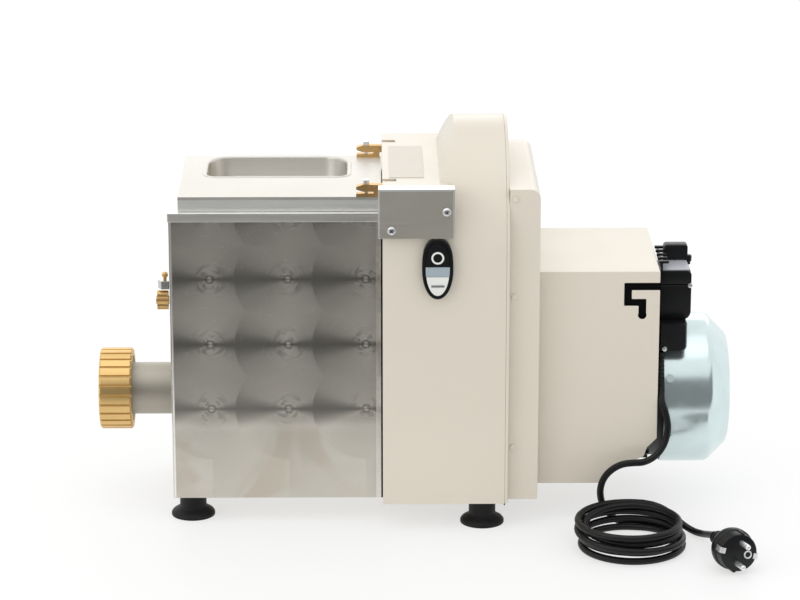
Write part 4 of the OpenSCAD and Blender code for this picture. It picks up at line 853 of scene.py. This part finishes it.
# The cord itself, in one piece from the strain relief to the plug
lead = smooth_line([EXIT] + LEAD_ROUTE + [coil_first])
tail = smooth_line([coil_last] + TAIL_ROUTE + [PLUG_BACK])
cord = polyline("mains_cord", lead[:-1] + [coil_first] + coil + [coil_last] + tail[1:], CORD_R, "cord",
                "machine")
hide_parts("cord_lead", "cord_coil", "cord_tail")

# ---------------------------------------------------------------- floor and light
TABLE_GLOW = 0.62  # how much of the table's white comes from its own light, where it is seen
ROOM_LIGHT, ROOM_DARK = 0.94, 0.82  # the white room's strength, and what its dark part takes away


def stage_material():
    """A white table that stays white where the camera and the metal see it, and keeps soft shadows."""
    s = Shader("pale_table", (0.93, 0.93, 0.925), 0.5)
    s.set("Specular IOR Level", 0.3)
    wide = s.noise(1.5, 3, 0.5)
    s.color(s.mix(wide, (0.92, 0.92, 0.915), (0.94, 0.94, 0.935)))
    glow = s.node("ShaderNodeEmission")
    s.link((1, 1, 0.99, 1), glow.inputs["Color"])
    s.link(1.0, glow.inputs["Strength"])
    both = s.either(s.mul(s.seen(), TABLE_GLOW), s.bsdf.outputs[0], glow.outputs[0])
    s.link(both, s.tree.nodes["Material Output"].inputs["Surface"])
    return s.mat


def lamp(name, at, target, size, power):
    """A white softbox that shines at a point."""
    data = bpy.data.lights.new(name, "AREA")
    data.shape = "RECTANGLE"
    data.size, data.size_y = size
    data.energy = power
    obj = bpy.data.objects.new(name, data)
    obj.location = at
    obj.rotation_euler = (Vector(target) - Vector(at)).to_track_quat("-Z", "Y").to_euler()
    scene.collection.objects.link(obj)


# The table ends a little in front of the machine, as the photograph's does
TABLE_FRONT = -0.40
bm = bmesh.new()
corners = [(-6, TABLE_FRONT), (6, TABLE_FRONT), (6, 9), (-6, 9)]
bm.faces.new([bm.verts.new((x, y, 0)) for x, y in corners])
floor_mesh = bpy.data.meshes.new("floor")
bm.to_mesh(floor_mesh)
bm.free()
floor = bpy.data.objects.new("floor", floor_mesh)
scene.collection.objects.link(floor)
floor_mesh.materials.append(stage_material())

lamp("softbox_above", (-0.3, -0.2, 2.4), (0, 0, 0.2), (2.6, 2.2), 9)
lamp("softbox_left", (-2.2, -1.6, 1.6), (0, 0, 0.2), (1.6, 1.6), 10)
lamp("softbox_back", (0.0, 3.4, 1.5), (0, 0, 0.3), (4.5, 1.8), 18)


def studio():
    """White all round, with the room below the table's height in front of it dark, as metal sees it."""
    world = bpy.data.worlds.new("studio")
    world.use_nodes = True
    world.node_tree.nodes.clear()
    g = Graph(world.node_tree)
    _, y, z = g.split(g.node("ShaderNodeTexCoord").outputs["Generated"])
    dark = g.mul(g.soft(z, 0.40, 0.62, 1.0, 0.0), g.soft(y, -0.55, 0.05, 1.0, 0.0))
    dark = g.mul(dark, g.flip(g.node("ShaderNodeLightPath").outputs["Is Camera Ray"]))
    rooms = []  # the one that lights the surfaces, and the one that the camera and the metal see
    for color, strength in (((0.97, 0.985, 1.0, 1), ROOM_LIGHT),
                            ((1, 1, 1, 1), g.flip(g.mul(dark, ROOM_DARK)))):
        room = g.node("ShaderNodeBackground")
        g.link(color, room.inputs["Color"])
        g.link(strength, room.inputs["Strength"])
        rooms.append(room.outputs[0])
    g.link(g.either(g.seen(), *rooms), g.node("ShaderNodeOutputWorld").inputs["Surface"])
    return world


scene.world = studio()

scene.view_settings.view_transform = "Standard"
